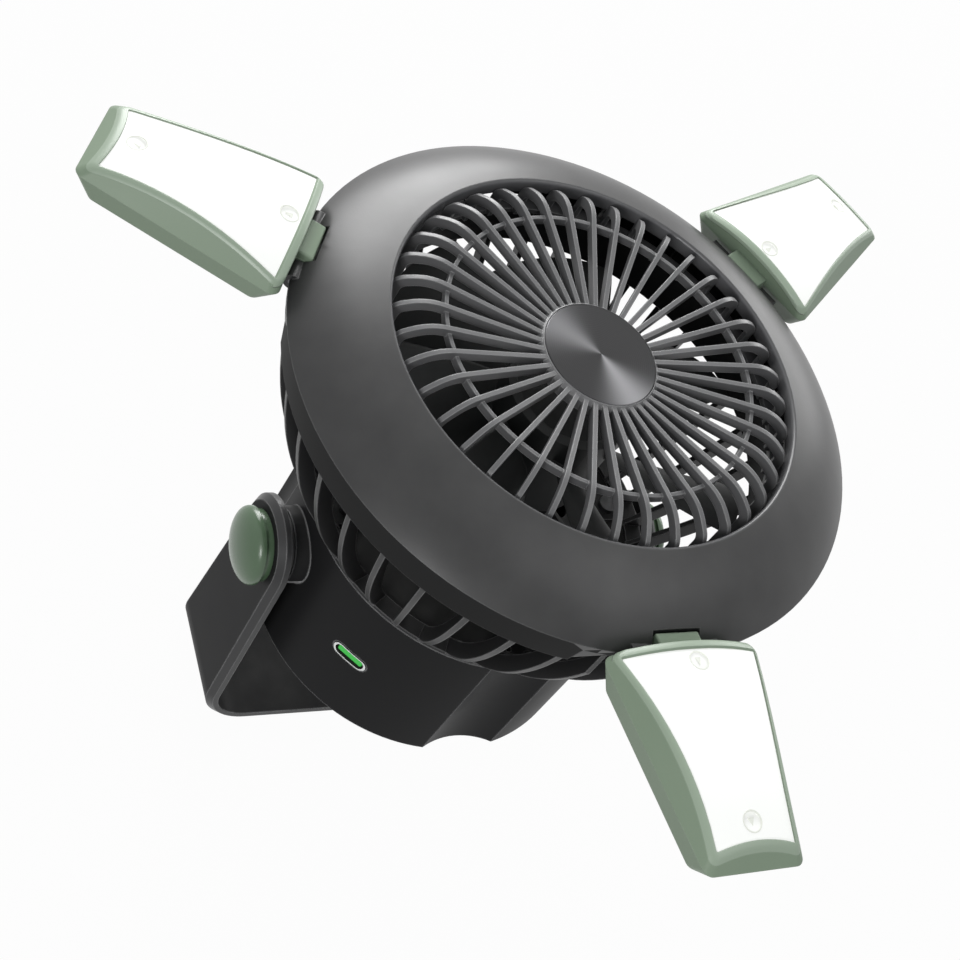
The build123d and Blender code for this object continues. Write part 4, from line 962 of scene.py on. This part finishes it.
@dataclass
class SecondFinishes:
    """Faces that differ from the rest of their piece.

    Attributes:
        band: inner and outer radius of the ring's lower band, in millimetres.
        band_top: height that the band stays below.
        port_shade_radius: radius inside which the port's surround is painted dark as shade.
        strap_turn: how far the faces of the strap's narrow edges look sideways, at least.
        strap_shoulder: height above which the strap's rounded ends start.
        strap_flat: how far the strap's broad faces look along the tilt axis, at least.
        housing_wall: radius outside which the housing's lower edge carries a painted highlight.
        housing_slopes: how far down that edge's faces look, at most and at least.
    """

    band: Pair = (73.4, 75.7)
    band_top: float = 147.2
    port_shade_radius: float = 48.6
    strap_turn: float = 0.30
    strap_shoulder: float = 74.0
    strap_flat: float = 0.9
    housing_wall: float = 44.0
    housing_slopes: Pair = (-0.96, -0.20)

    def dress(self, nodes: dict[str, bpy.types.Object], materials: Materials) -> None:
        """Give those faces their finish.

        Args:
            nodes: the fan's pieces by name.
            materials: the materials by slot.
        """
        for name, slot, chosen in (
            ("front_ring", "ring_band", self._on_band),
            # The inside of the white port surround is painted black as shade in the recess.
            ("usb_surround", "inner_black", self._in_port_shade),
            # The strap's chamfer band gets a painted highlight.
            ("stand_bracket", "strap_edge_highlight", self._on_strap_edge),
            # The housing's lower edge gets a painted highlight.
            ("battery_housing", "painted_edge_highlight", self._on_housing_edge),
        ):
            finish_faces(nodes[name], materials[slot], chosen)
            LOG.info("second finish: %s has %s", name, slot)

    def _on_band(self, middle: Vector, normal: Vector) -> bool:
        """Whether a face is on the ring's lower band."""
        return self.band[0] < middle.xy.length < self.band[1] and middle.z < self.band_top

    def _in_port_shade(self, middle: Vector, normal: Vector) -> bool:
        """Whether a face of the port's surround is inside the port, where its white plastic is painted with
        shade.
        """
        return middle.xy.length < self.port_shade_radius

    def _on_strap_edge(self, middle: Vector, normal: Vector) -> bool:
        """Whether a face is on the strap's narrow edge or its rounded ends."""
        at_end = middle.z > self.strap_shoulder and abs(normal.y) < self.strap_flat
        return abs(normal.x) > self.strap_turn or at_end

    def _on_housing_edge(self, middle: Vector, normal: Vector) -> bool:
        """Whether a face is on the housing's broken lower edge."""
        low, high = self.housing_slopes
        return middle.xy.length > self.housing_wall and low < normal.z < high


@dataclass
class PanelKnuckle:
    """The raised neck between a light panel and its hinge barrel, in millimetres.

    Attributes:
        number: which panel it belongs to.
        face: height of the fan's front face.
        axis: distance of the hinge's axis from the fan's axis.
        axis_depth: depth of the hinge's axis below the front face.
        sleeve: radius of the sleeve around the barrel.
        outer: distance of the neck's outer end.
        foot: depth of that end's lower corner below the hinge's axis.
        top: depth of the neck's ridge below the front face.
        fall: how much lower its top is at both ends.
        ridge: how far outside the hinge's axis the ridge lies.
        inner: how far inside the hinge's axis the top ends.
        half: half its width.
        start: angle about the hinge where the neck runs into the sleeve, in degrees.
        stop: angle where the sleeve runs out again.
        steps: how many straight pieces the sleeve has.
        rounding: width of its rounded edges.
    """

    number: int
    face: float = FRONT_FACE
    axis: float = 74.2
    axis_depth: float = 12.2
    sleeve: float = 2.85
    outer: float = 77.4
    foot: float = 1.6
    top: float = 7.7
    fall: float = 0.5
    ridge: float = 1.2
    inner: float = 2.4
    half: float = 5.9
    start: float = 145.0
    stop: float = 300.0
    steps: int = 16
    rounding: float = 0.45

    def build(self, materials: Materials) -> None:
        """Make the neck and let it ride on its panel.

        Args:
            materials: the materials by slot.
        """
        level = self.face - self.axis_depth
        crest = self.face - self.top
        outline = [
            (self.outer, level - self.foot),
            (self.outer, crest - self.fall),
            (self.axis + self.ridge, crest),
            (self.axis - self.inner, crest - self.fall),
        ]
        for step in range(self.steps + 1):
            angle = math.radians(self.start + (self.stop - self.start) * step / self.steps)
            x, z = self.sleeve * math.cos(angle), self.sleeve * math.sin(angle)
            outline.append((self.axis + x, level + z))
        name = f"panel_{self.number}_knuckle"
        piece = extruded(name, outline, self.half, panel_angle(self.number))
        piece.data.materials.append(materials["sage"])
        smooth_faces(piece, Shade.SMOOTH)
        round_over(piece, self.rounding)
        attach(piece, f"panel_{self.number}")
        LOG.info("panel %d: %s is sage", self.number, piece.name)


@dataclass(frozen=True)
class PanelShape:
    """Sizes of a light panel, in millimetres, with X away from the fan's axis.

    Attributes:
        face: height of the fan's front face.
        root: distance of the panel's root from the axis.
        length: length along X.
        halves: half widths at the root and the tip.
        split: depth of the widest outline.
        crest: depth of the upper outline.
        crest_inset: how far it is drawn in at the root, root side, tip side and tip.
        corner: radius of the outline's corners.
        corner_loss: how fast that radius shrinks as the outline is drawn in.
        corner_least: the smallest radius.
        corner_steps: how many straight pieces a corner has.
        side_gap: how many radii before the next corner a side's points end.
        side_steps: how many pieces a side is divided into.
        ends: depths of the crown's ridge at the root and the tip.
        bow: rise of the ridge between them.
        cross: radius of the crown across the panel at its root.
        root_share: how much wider a frame is at the root than along the sides.
        tip_share: how much wider it is at the tip.
        arch: how far the frame's root bulges towards the fan.
        halvings: how often the search for the crown's edge halves its range.
    """

    face: float = FRONT_FACE
    root: float = 76.1
    length: float = 53.2
    halves: Pair = (21.0, 13.1)
    split: float = 9.8
    crest: float = 2.0
    crest_inset: Insets = (1.5, 4.4, 4.4, 8.0)
    corner: float = 2.4
    corner_loss: float = 2.4
    corner_least: float = 0.4
    corner_steps: int = 6
    side_gap: float = 1.6
    side_steps: int = 12
    ends: Pair = (4.8, 7.5)
    bow: float = 2.65
    cross: float = 59.0
    root_share: float = 2.1
    tip_share: float = 1.4
    arch: float = 1.1
    halvings: int = 30

    def ridge(self, x: float) -> float:
        """Find the depth of the crown's ridge.

        Args:
            x: distance from the fan's axis.

        Returns:
            The depth below the front face.
        """
        drop = self.ends[1] - self.ends[0]
        chord = math.hypot(self.length, drop)
        along = (x - self.root) / self.length
        radius = chord**2 / (8 * self.bow) + self.bow / 2
        rise = math.sqrt(radius**2 - ((along - 0.5) * chord) ** 2) - (radius - self.bow)
        return self.ends[0] + drop * along - rise

    def crown(self, x: float, y: float) -> float:
        """Return the height of the crown above the table at a place."""
        axis = self.ends[0] + self.cross
        return self.face - axis + math.sqrt((axis - self.ridge(x)) ** 2 - y**2)

    def outline(self, inset: Insets, side_in: float) -> list[Pair]:
        """List the points around an outline.

        Args:
            inset: how far it is drawn in at the root, root side, tip side and tip.
            side_in: how far it is drawn in all round besides.

        Returns:
            The points, the same number whatever the insets are.
        """
        root_x = self.root + inset[0] + side_in * self.root_share
        tip_x = self.root + self.length - inset[3] - side_in * self.tip_share
        root_y = self.halves[0] - inset[1] - side_in
        tip_y = self.halves[1] - inset[2] - side_in
        places = ((root_x, -root_y), (tip_x, -tip_y), (tip_x, tip_y), (root_x, root_y))
        corners = [Vector(place) for place in places]
        radius = max(self.corner - side_in * self.corner_loss, self.corner_least)
        points: list[Pair] = []
        for index, corner in enumerate(corners):
            following = corners[(index + 1) % len(corners)]
            before = (corners[index - 1] - corner).normalized()
            after = (following - corner).normalized()
            half = before.angle(after) / 2
            centre = corner + (before + after).normalized() * (radius / math.sin(half))
            first = centre + self._foot(centre, corner, before) * radius
            last = centre + self._foot(centre, corner, after) * radius
            start = math.atan2(*(first - centre).yx)
            turn = (math.atan2(*(last - centre).yx) - start) % (2 * math.pi)
            for step in range(self.corner_steps + 1):
                angle = start + turn * step / self.corner_steps
                points.append((centre.x + radius * math.cos(angle), centre.y + radius * math.sin(angle)))
            side_end = following + (corner - following).normalized() * radius * self.side_gap
            for step in range(1, self.side_steps):
                place = last.lerp(side_end, step / self.side_steps)
                points.append((place.x, place.y))
        return points

    def _foot(self, centre: Vector, corner: Vector, along: Vector) -> Vector:
        """Return the direction from a corner's centre square to one of its sides."""
        foot = corner + along * (centre - corner).dot(along)
        return (foot - centre).normalized()

    def edge(self, side_in: float, lift: float) -> list[Vector]:
        """List the points where the panel's side meets the lifted crown.

        Args:
            side_in: how far the side is drawn in.
            lift: how far the crown is lifted.

        Returns:
            The points in millimetres.
        """
        low = self.outline((0.0, 0.0, 0.0, 0.0), side_in)
        high = self.outline(self.crest_inset, side_in)
        points = []
        x_root = min(x for x, _ in high)
        for (x0, y0), (x1, y1) in zip(low, high):
            start, stop = 0.0, 1.0
            for _ in range(self.halvings):
                share = (start + stop) / 2
                x, y = x0 + (x1 - x0) * share, y0 + (y1 - y0) * share
                height = self.face - self.split + (self.split - self.crest) * share
                if height < self.crown(x, y) + lift:
                    start = share
                else:
                    stop = share
            at_root = min(max(0.0, 1.0 - (x - x_root) / self.corner), 1.0)
            bulge = self.arch * at_root * max(0.0, 1.0 - (y / self.halves[0]) ** 2)
            points.append(Vector((x - bulge, y, height)))
        return points


@dataclass
class PanelRim:
    """The raised lip that frames a panel's diffuser, in millimetres.

    Attributes:
        number: which panel it belongs to.
        width: how far its inner wall is drawn in from the panel's side.
        gap: how far its outer wall is drawn in.
        proud: how far it stands above the housing's edge.
        outer_break: where its top starts, and how much lower its outer corner is.
        inner_break: how far before the inner wall its top ends, and how much lower that corner is.
        feet: how far its outer and inner walls reach below the crown.
        seam: which strip, counted from the outside, is the dark seam.
        shape: the panel's sizes.
    """

    number: int
    width: float = 1.05
    gap: float = 0.02
    proud: float = 0.75
    outer_break: Pair = (0.32, 0.35)
    inner_break: Pair = (0.25, 0.30)
    feet: Pair = (0.5, 0.2)
    seam: int = 3
    shape: PanelShape = PanelShape()

    def build(self, materials: Materials) -> None:
        """Make the lip and let it ride on its panel.

        Args:
            materials: the materials by slot.
        """
        loops = [
            self.shape.edge(self.gap, -self.feet[0]),
            self.shape.edge(self.gap, self.proud - self.outer_break[1]),
            self.shape.edge(self.outer_break[0], self.proud),
            self.shape.edge(self.width - self.inner_break[0], self.proud),
            self.shape.edge(self.width, self.proud - self.inner_break[1]),
            self.shape.edge(self.width, -self.feet[1]),
        ]
        turn = Matrix.Rotation(math.radians(panel_angle(self.number)), 4, "Z")
        count = len(loops[0])
        corners = [turn @ (point * MM) for loop in loops for point in loop]
        mesh = bpy.data.meshes.new(f"panel_{self.number}_rim")
        mesh.from_pydata(corners, [], joined_loops(len(loops), count))
        shape = bmesh.new()
        shape.from_mesh(mesh)
        bmesh.ops.recalc_face_normals(shape, faces=shape.faces)
        shape.to_mesh(mesh)
        shape.free()
        piece = new_piece(mesh)
        mesh.materials.append(materials["rim_sage"])
        mesh.materials.append(materials["seam_dark"])
        for face in mesh.polygons[self.seam * count:(self.seam + 1) * count]:
            face.material_index = 1
        smooth_faces(piece, Shade.SMOOTH)
        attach(piece, f"panel_{self.number}")
        LOG.info("panel %d: %s is sage", self.number, piece.name)


@dataclass
class PlugMarks:
    """The round marks around a panel's two screw plugs, in millimetres, dimmer than the lens so that they
    show as painted shadow lines.

    Attributes:
        number: which panel they belong to.
        places: distances of the plugs from the fan's axis.
        outside: outer radius of a mark.
        inside: inner radius of a mark.
        slope: how far its top is drawn in from both radii.
        proud: how far a mark stands above the diffuser.
        sunk: how far it reaches below the diffuser's face.
        steps: how many straight pieces a mark has.
        lens: height of the diffuser's face above the crown.
        notch: half length and half width of the wedge inside a mark.
        notch_depths: depths of its bottom and its top below the diffuser's face.
        shape: the panel's sizes.
    """

    number: int
    places: Pair = (81.4, 119.6)
    outside: float = 2.55
    inside: float = 2.15
    slope: float = 0.1
    proud: float = 0.10
    sunk: float = 0.15
    steps: int = 48
    lens: float = 0.35
    notch: Pair = (0.95, 0.75)
    notch_depths: Pair = (0.95, 0.28)
    shape: PanelShape = PanelShape()

    def build(self, materials: Materials) -> None:
        """Make both marks and let them ride on their panel.

        Args:
            materials: the materials by slot.
        """
        shape = bmesh.new()
        for x in self.places:
            self._ring(shape, x)
            self._notch(shape, x)
        bmesh.ops.recalc_face_normals(shape, faces=shape.faces)
        turn = Matrix.Rotation(math.radians(panel_angle(self.number)), 3, "Z")
        bmesh.ops.rotate(shape, verts=shape.verts, matrix=turn)
        mesh = bpy.data.meshes.new(f"panel_{self.number}_plug_marks")
        shape.to_mesh(mesh)
        shape.free()
        piece = new_piece(mesh)
        mesh.materials.append(materials["plug_mark_painted_shadow"])
        smooth_faces(piece, Shade.SMOOTH)
        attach(piece, f"panel_{self.number}")
        LOG.info("panel %d: %s is screw_white", self.number, piece.name)

    def _place(self, x: float, y: float, lift: float) -> Vector:
        """Return a point above the diffuser's face, in metres."""
        return Vector((x, y, self.shape.crown(x, y) + self.lens + lift)) * MM

    def _ring(self, shape: bmesh.types.BMesh, x: float) -> None:
        """Add a raised ring around one plug.

        Args:
            shape: the mesh to add it to.
            x: the plug's distance from the fan's axis.
        """
        loops = (
            (self.outside, -self.sunk),
            (self.outside - self.slope, self.proud),
            (self.inside + self.slope, self.proud),
            (self.inside, -self.sunk),
        )
        corners = []
        for radius, lift in loops:
            for step in range(self.steps):
                angle = 2 * math.pi * step / self.steps
                place = self._place(x + radius * math.cos(angle), radius * math.sin(angle), lift)
                corners.append(shape.verts.new(place))
        for places in joined_loops(len(loops), self.steps):
            shape.faces.new([corners[place] for place in places])

    def _notch(self, shape: bmesh.types.BMesh, x: float) -> None:
        """Add the wedge that shows how one plug is turned.

        Args:
            shape: the mesh to add it to.
            x: the plug's distance from the fan's axis.
        """
        long, wide = self.notch
        flat = [(-long, -wide), (long, 0.0), (-long, wide)]
        low, high = (
            [shape.verts.new(self._place(x + dx, dy, -depth)) for dx, dy in flat]
            for depth in self.notch_depths
        )
        shape.faces.new(low[::-1])
        shape.faces.new(high)
        for index in range(len(flat)):
            follow = (index + 1) % len(flat)
            shape.faces.new((low[index], low[follow], high[follow], high[index]))


@dataclass
class PortTongue:
    """The green tongue in the charging port, with a painted glow, in millimetres.

    Attributes:
        turn: where the port sits around the body, in degrees.
        height: the port's height above the table.
        reach: distance of the tongue's front from the fan's axis.
        length: how far the tongue reaches in.
        width: its width along the body.
        thickness: its thickness.
        rounding: width of its rounded edges.
    """

    turn: float = -51.0
    height: float = 64.7
    reach: float = 48.5
    length: float = 7.0
    width: float = 8.0
    thickness: float = 2.2
    rounding: float = 0.5

    def build(self, materials: Materials) -> None:
        """Make the tongue in place of the plain one.

        Args:
            materials: the materials by slot.
        """
        low, high = self.height - self.thickness / 2, self.height + self.thickness / 2
        back = self.reach - self.length
        outline = [(back, low), (self.reach, low), (self.reach, high), (back, high)]
        # The tongue's glow is painted light.
        piece = extruded("usb_tongue_painted_glow", outline, self.width / 2, self.turn)
        piece.data.materials.append(materials["port_painted_glow"])
        round_over(piece, self.rounding)
        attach(piece, "head")
        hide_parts("usb_tongue")
        LOG.info("port: %s is port_green", piece.name)


# ---------------------------------------------------------------- studio


@dataclass(frozen=True)
class SoftBox:
    """A square lamp.

    Attributes:
        facing: which way it points, and its name.
        place: where it hangs, in metres.
        width: its width, in metres.
        power: its power, in watts.
    """

    facing: Facing
    place: Place
    width: float
    power: float

    def hang(self, target: Vector) -> None:
        """Hang the lamp so that it looks at a point.

        Args:
            target: the point, in metres.
        """
        data = bpy.data.lights.new(self.facing.value, "AREA")
        data.size = self.width
        data.energy = self.power
        lamp = bpy.data.objects.new(self.facing.value, data)
        lamp.location = self.place
        lamp.rotation_mode = "QUATERNION"
        lamp.rotation_quaternion = (target - Vector(self.place)).to_track_quat("-Z", "Y")
        bpy.context.scene.collection.objects.link(lamp)


@dataclass(frozen=True)
class Studio:
    """Floor, lights and camera.

    Attributes:
        camera_place: where the camera stands, in metres.
        camera_right: what is right in the view, in the fan's frame.
        camera_down: what is down in the view, in the fan's frame.
        lens: focal length in millimetres.
        sensor: sensor width in millimetres.
        shift: how far the view is shifted, as shares of its width.
        nearest: the nearest distance that the camera shows, in metres.
        room: colour of the light from all sides.
        room_light: strength of that light.
        floor_half: half the floor's width, in metres.
        floor_tone: the floor's grey.
        floor_roughness: how matt the floor is.
        floor_white: the share of plain white that the floor shows over its shadows.
        target: the point that the soft boxes look at, in metres.
        boxes: the soft boxes.
    """

    camera_place: Place = (0.22866, -0.24290, 0.46375)
    camera_right: Place = (0.26875, 0.86802, 0.41750)
    camera_down: Place = (0.84894, -0.00868, -0.52842)
    lens: float = 69.75
    sensor: float = 36.0
    shift: Pair = (-0.0304, 0.0208)
    nearest: float = 0.01
    room: Color = (0.92, 0.95, 1.0)
    room_light: float = 0.34
    floor_half: float = 3.0
    floor_tone: float = 0.30
    floor_roughness: float = 0.9
    floor_white: float = 0.97
    target: Place = (0.0, 0.0, 0.13)
    boxes: tuple[SoftBox, ...] = (
        SoftBox(Facing.KEY, (-1.00, 0.12, 0.60), 0.75, 17.0),
        SoftBox(Facing.FRONT, (0.45, 0.40, 1.25), 0.80, 3.6),
        SoftBox(Facing.FILL, (0.82, -0.96, 0.66), 0.45, 9.0),
        SoftBox(Facing.RIM, (-0.55, 1.00, 0.42), 0.50, 3.0),
    )

    def build(self) -> None:
        """Set up everything that isn't the fan."""
        self._build_camera()
        self._build_world()
        self._build_floor()
        for box in self.boxes:
            box.hang(Vector(self.target))
        LOG.info("studio: camera, floor and %d soft boxes", len(self.boxes))

    def _build_camera(self) -> None:
        """Make the camera and use it."""
        data = bpy.data.cameras.new("view")
        data.lens = self.lens
        data.sensor_width = self.sensor
        data.shift_x, data.shift_y = self.shift
        data.clip_start = self.nearest
        camera = bpy.data.objects.new("view", data)
        right = Vector(self.camera_right).normalized()
        up = -Vector(self.camera_down).normalized()
        back = right.cross(up)
        turn = Matrix((right, up, back)).transposed().to_4x4()
        camera.matrix_world = Matrix.Translation(self.camera_place) @ turn
        bpy.context.scene.collection.objects.link(camera)
        bpy.context.scene.camera = camera

    def _build_world(self) -> None:
        """Light everything softly, with a white backdrop for the camera."""
        world = bpy.data.worlds.new("soft_white")
        world.use_nodes = True
        world.node_tree.nodes.clear()
        graph = Graph(world.node_tree)
        seen = graph.seen()
        room = graph.add("ShaderNodeBackground")
        graph.feed(room.inputs["Color"], self.room)
        room.inputs["Strength"].default_value = self.room_light
        backdrop = graph.add("ShaderNodeBackground")
        graph.feed(backdrop.inputs["Color"], grey(1.0))
        shown = graph.blend(seen, room.outputs[0], backdrop.outputs[0])
        graph.link(shown, graph.add("ShaderNodeOutputWorld").inputs["Surface"])
        bpy.context.scene.world = world

    def _build_floor(self) -> None:
        """Lay a pale floor that keeps a faint shadow."""
        half = self.floor_half
        mesh = bpy.data.meshes.new("floor")
        corners = [(-half, -half, 0.0), (half, -half, 0.0), (half, half, 0.0), (-half, half, 0.0)]
        mesh.from_pydata(corners, [], [(0, 1, 2, 3)])
        floor = new_piece(mesh)
        material, graph, shader = new_material("pale_floor")
        graph.feed(shader.inputs["Base Color"], grey(self.floor_tone))
        shader.inputs["Roughness"].default_value = self.floor_roughness
        seen = graph.seen()
        glow = graph.add("ShaderNodeEmission")
        white = graph.math("MULTIPLY", seen, self.floor_white)
        shown = graph.blend(white, shader.outputs[0], glow.outputs[0])
        graph.link(shown, graph.find("ShaderNodeOutputMaterial").inputs["Surface"])
        mesh.materials.append(material)


def fan_assemblies() -> list[SubAssembly]:
    """List the fan's sub-assemblies in the order they are dressed.

    Returns:
        The sub-assemblies.
    """
    smooth, crisp = Shade.SMOOTH, Shade.CRISP
    caps = ("left_pivot_cap", "right_pivot_cap")
    parts = [
        SubAssembly("stand", {"stand_bracket": crisp, "foot_pads": crisp}),
        SubAssembly(
            "pivots", dict.fromkeys((*caps, "pivot_screws", "friction_washers"), smooth),
            dict.fromkeys(caps, "cap_sage"),
        ),
        SubAssembly(
            "front", dict.fromkeys(("front_ring", "front_grille", "hub_cap", "ring_screws"), smooth)
        ),
        SubAssembly(
            "basket", dict.fromkeys(("rear_basket", "basket_fins", "basket_foot", "deck_screws"), smooth)
        ),
        SubAssembly("body", {"battery_housing": smooth, "base_cover": crisp, "base_screws": smooth}),
        SubAssembly("motor", {
            "motor_mount": smooth, "motor_bearings": smooth, "motor_stator": smooth, "motor_coils": crisp,
            "rotor_cup": smooth, "rotor_magnets": smooth, "motor_shaft": smooth, "impeller": smooth,
        }),
        SubAssembly("power", {
            "battery_cells": smooth, "cell_holder": crisp, "control_board": crisp, "board_pad": crisp,
            "usb_surround": smooth, "usb_shell": smooth, "usb_tongue": crisp, "button_board": crisp,
            "fan_button": smooth, "light_button": smooth,
        }),
    ]
    for number in PANELS:
        pieces = ("housing", "diffuser", "screws", "led_board", "pin")
        names = (f"panel_{number}_{piece}" for piece in pieces)
        parts.append(SubAssembly(f"panel {number}", dict.fromkeys(names, smooth)))
    return parts


def main() -> None:
    """Load the frame, dress every sub-assembly and set up the studio."""
    logging.basicConfig(level=logging.INFO, format="%(name)s %(message)s")
    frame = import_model()
    bpy.context.scene.view_settings.view_transform = "Standard"
    EFFECTS.build()
    materials = {slot: finish.make() for slot, finish in (SLOT_FINISHES | EXTRA_FINISHES).items()}
    for assembly in fan_assemblies():
        assembly.dress(frame, materials)
    SecondFinishes().dress(frame["nodes"], materials)
    for number in PANELS:
        PanelKnuckle(number).build(materials)
        PanelRim(number).build(materials)
        PlugMarks(number).build(materials)
    PortTongue().build(materials)
    Studio().build()


if __name__ == "__main__":
    main()
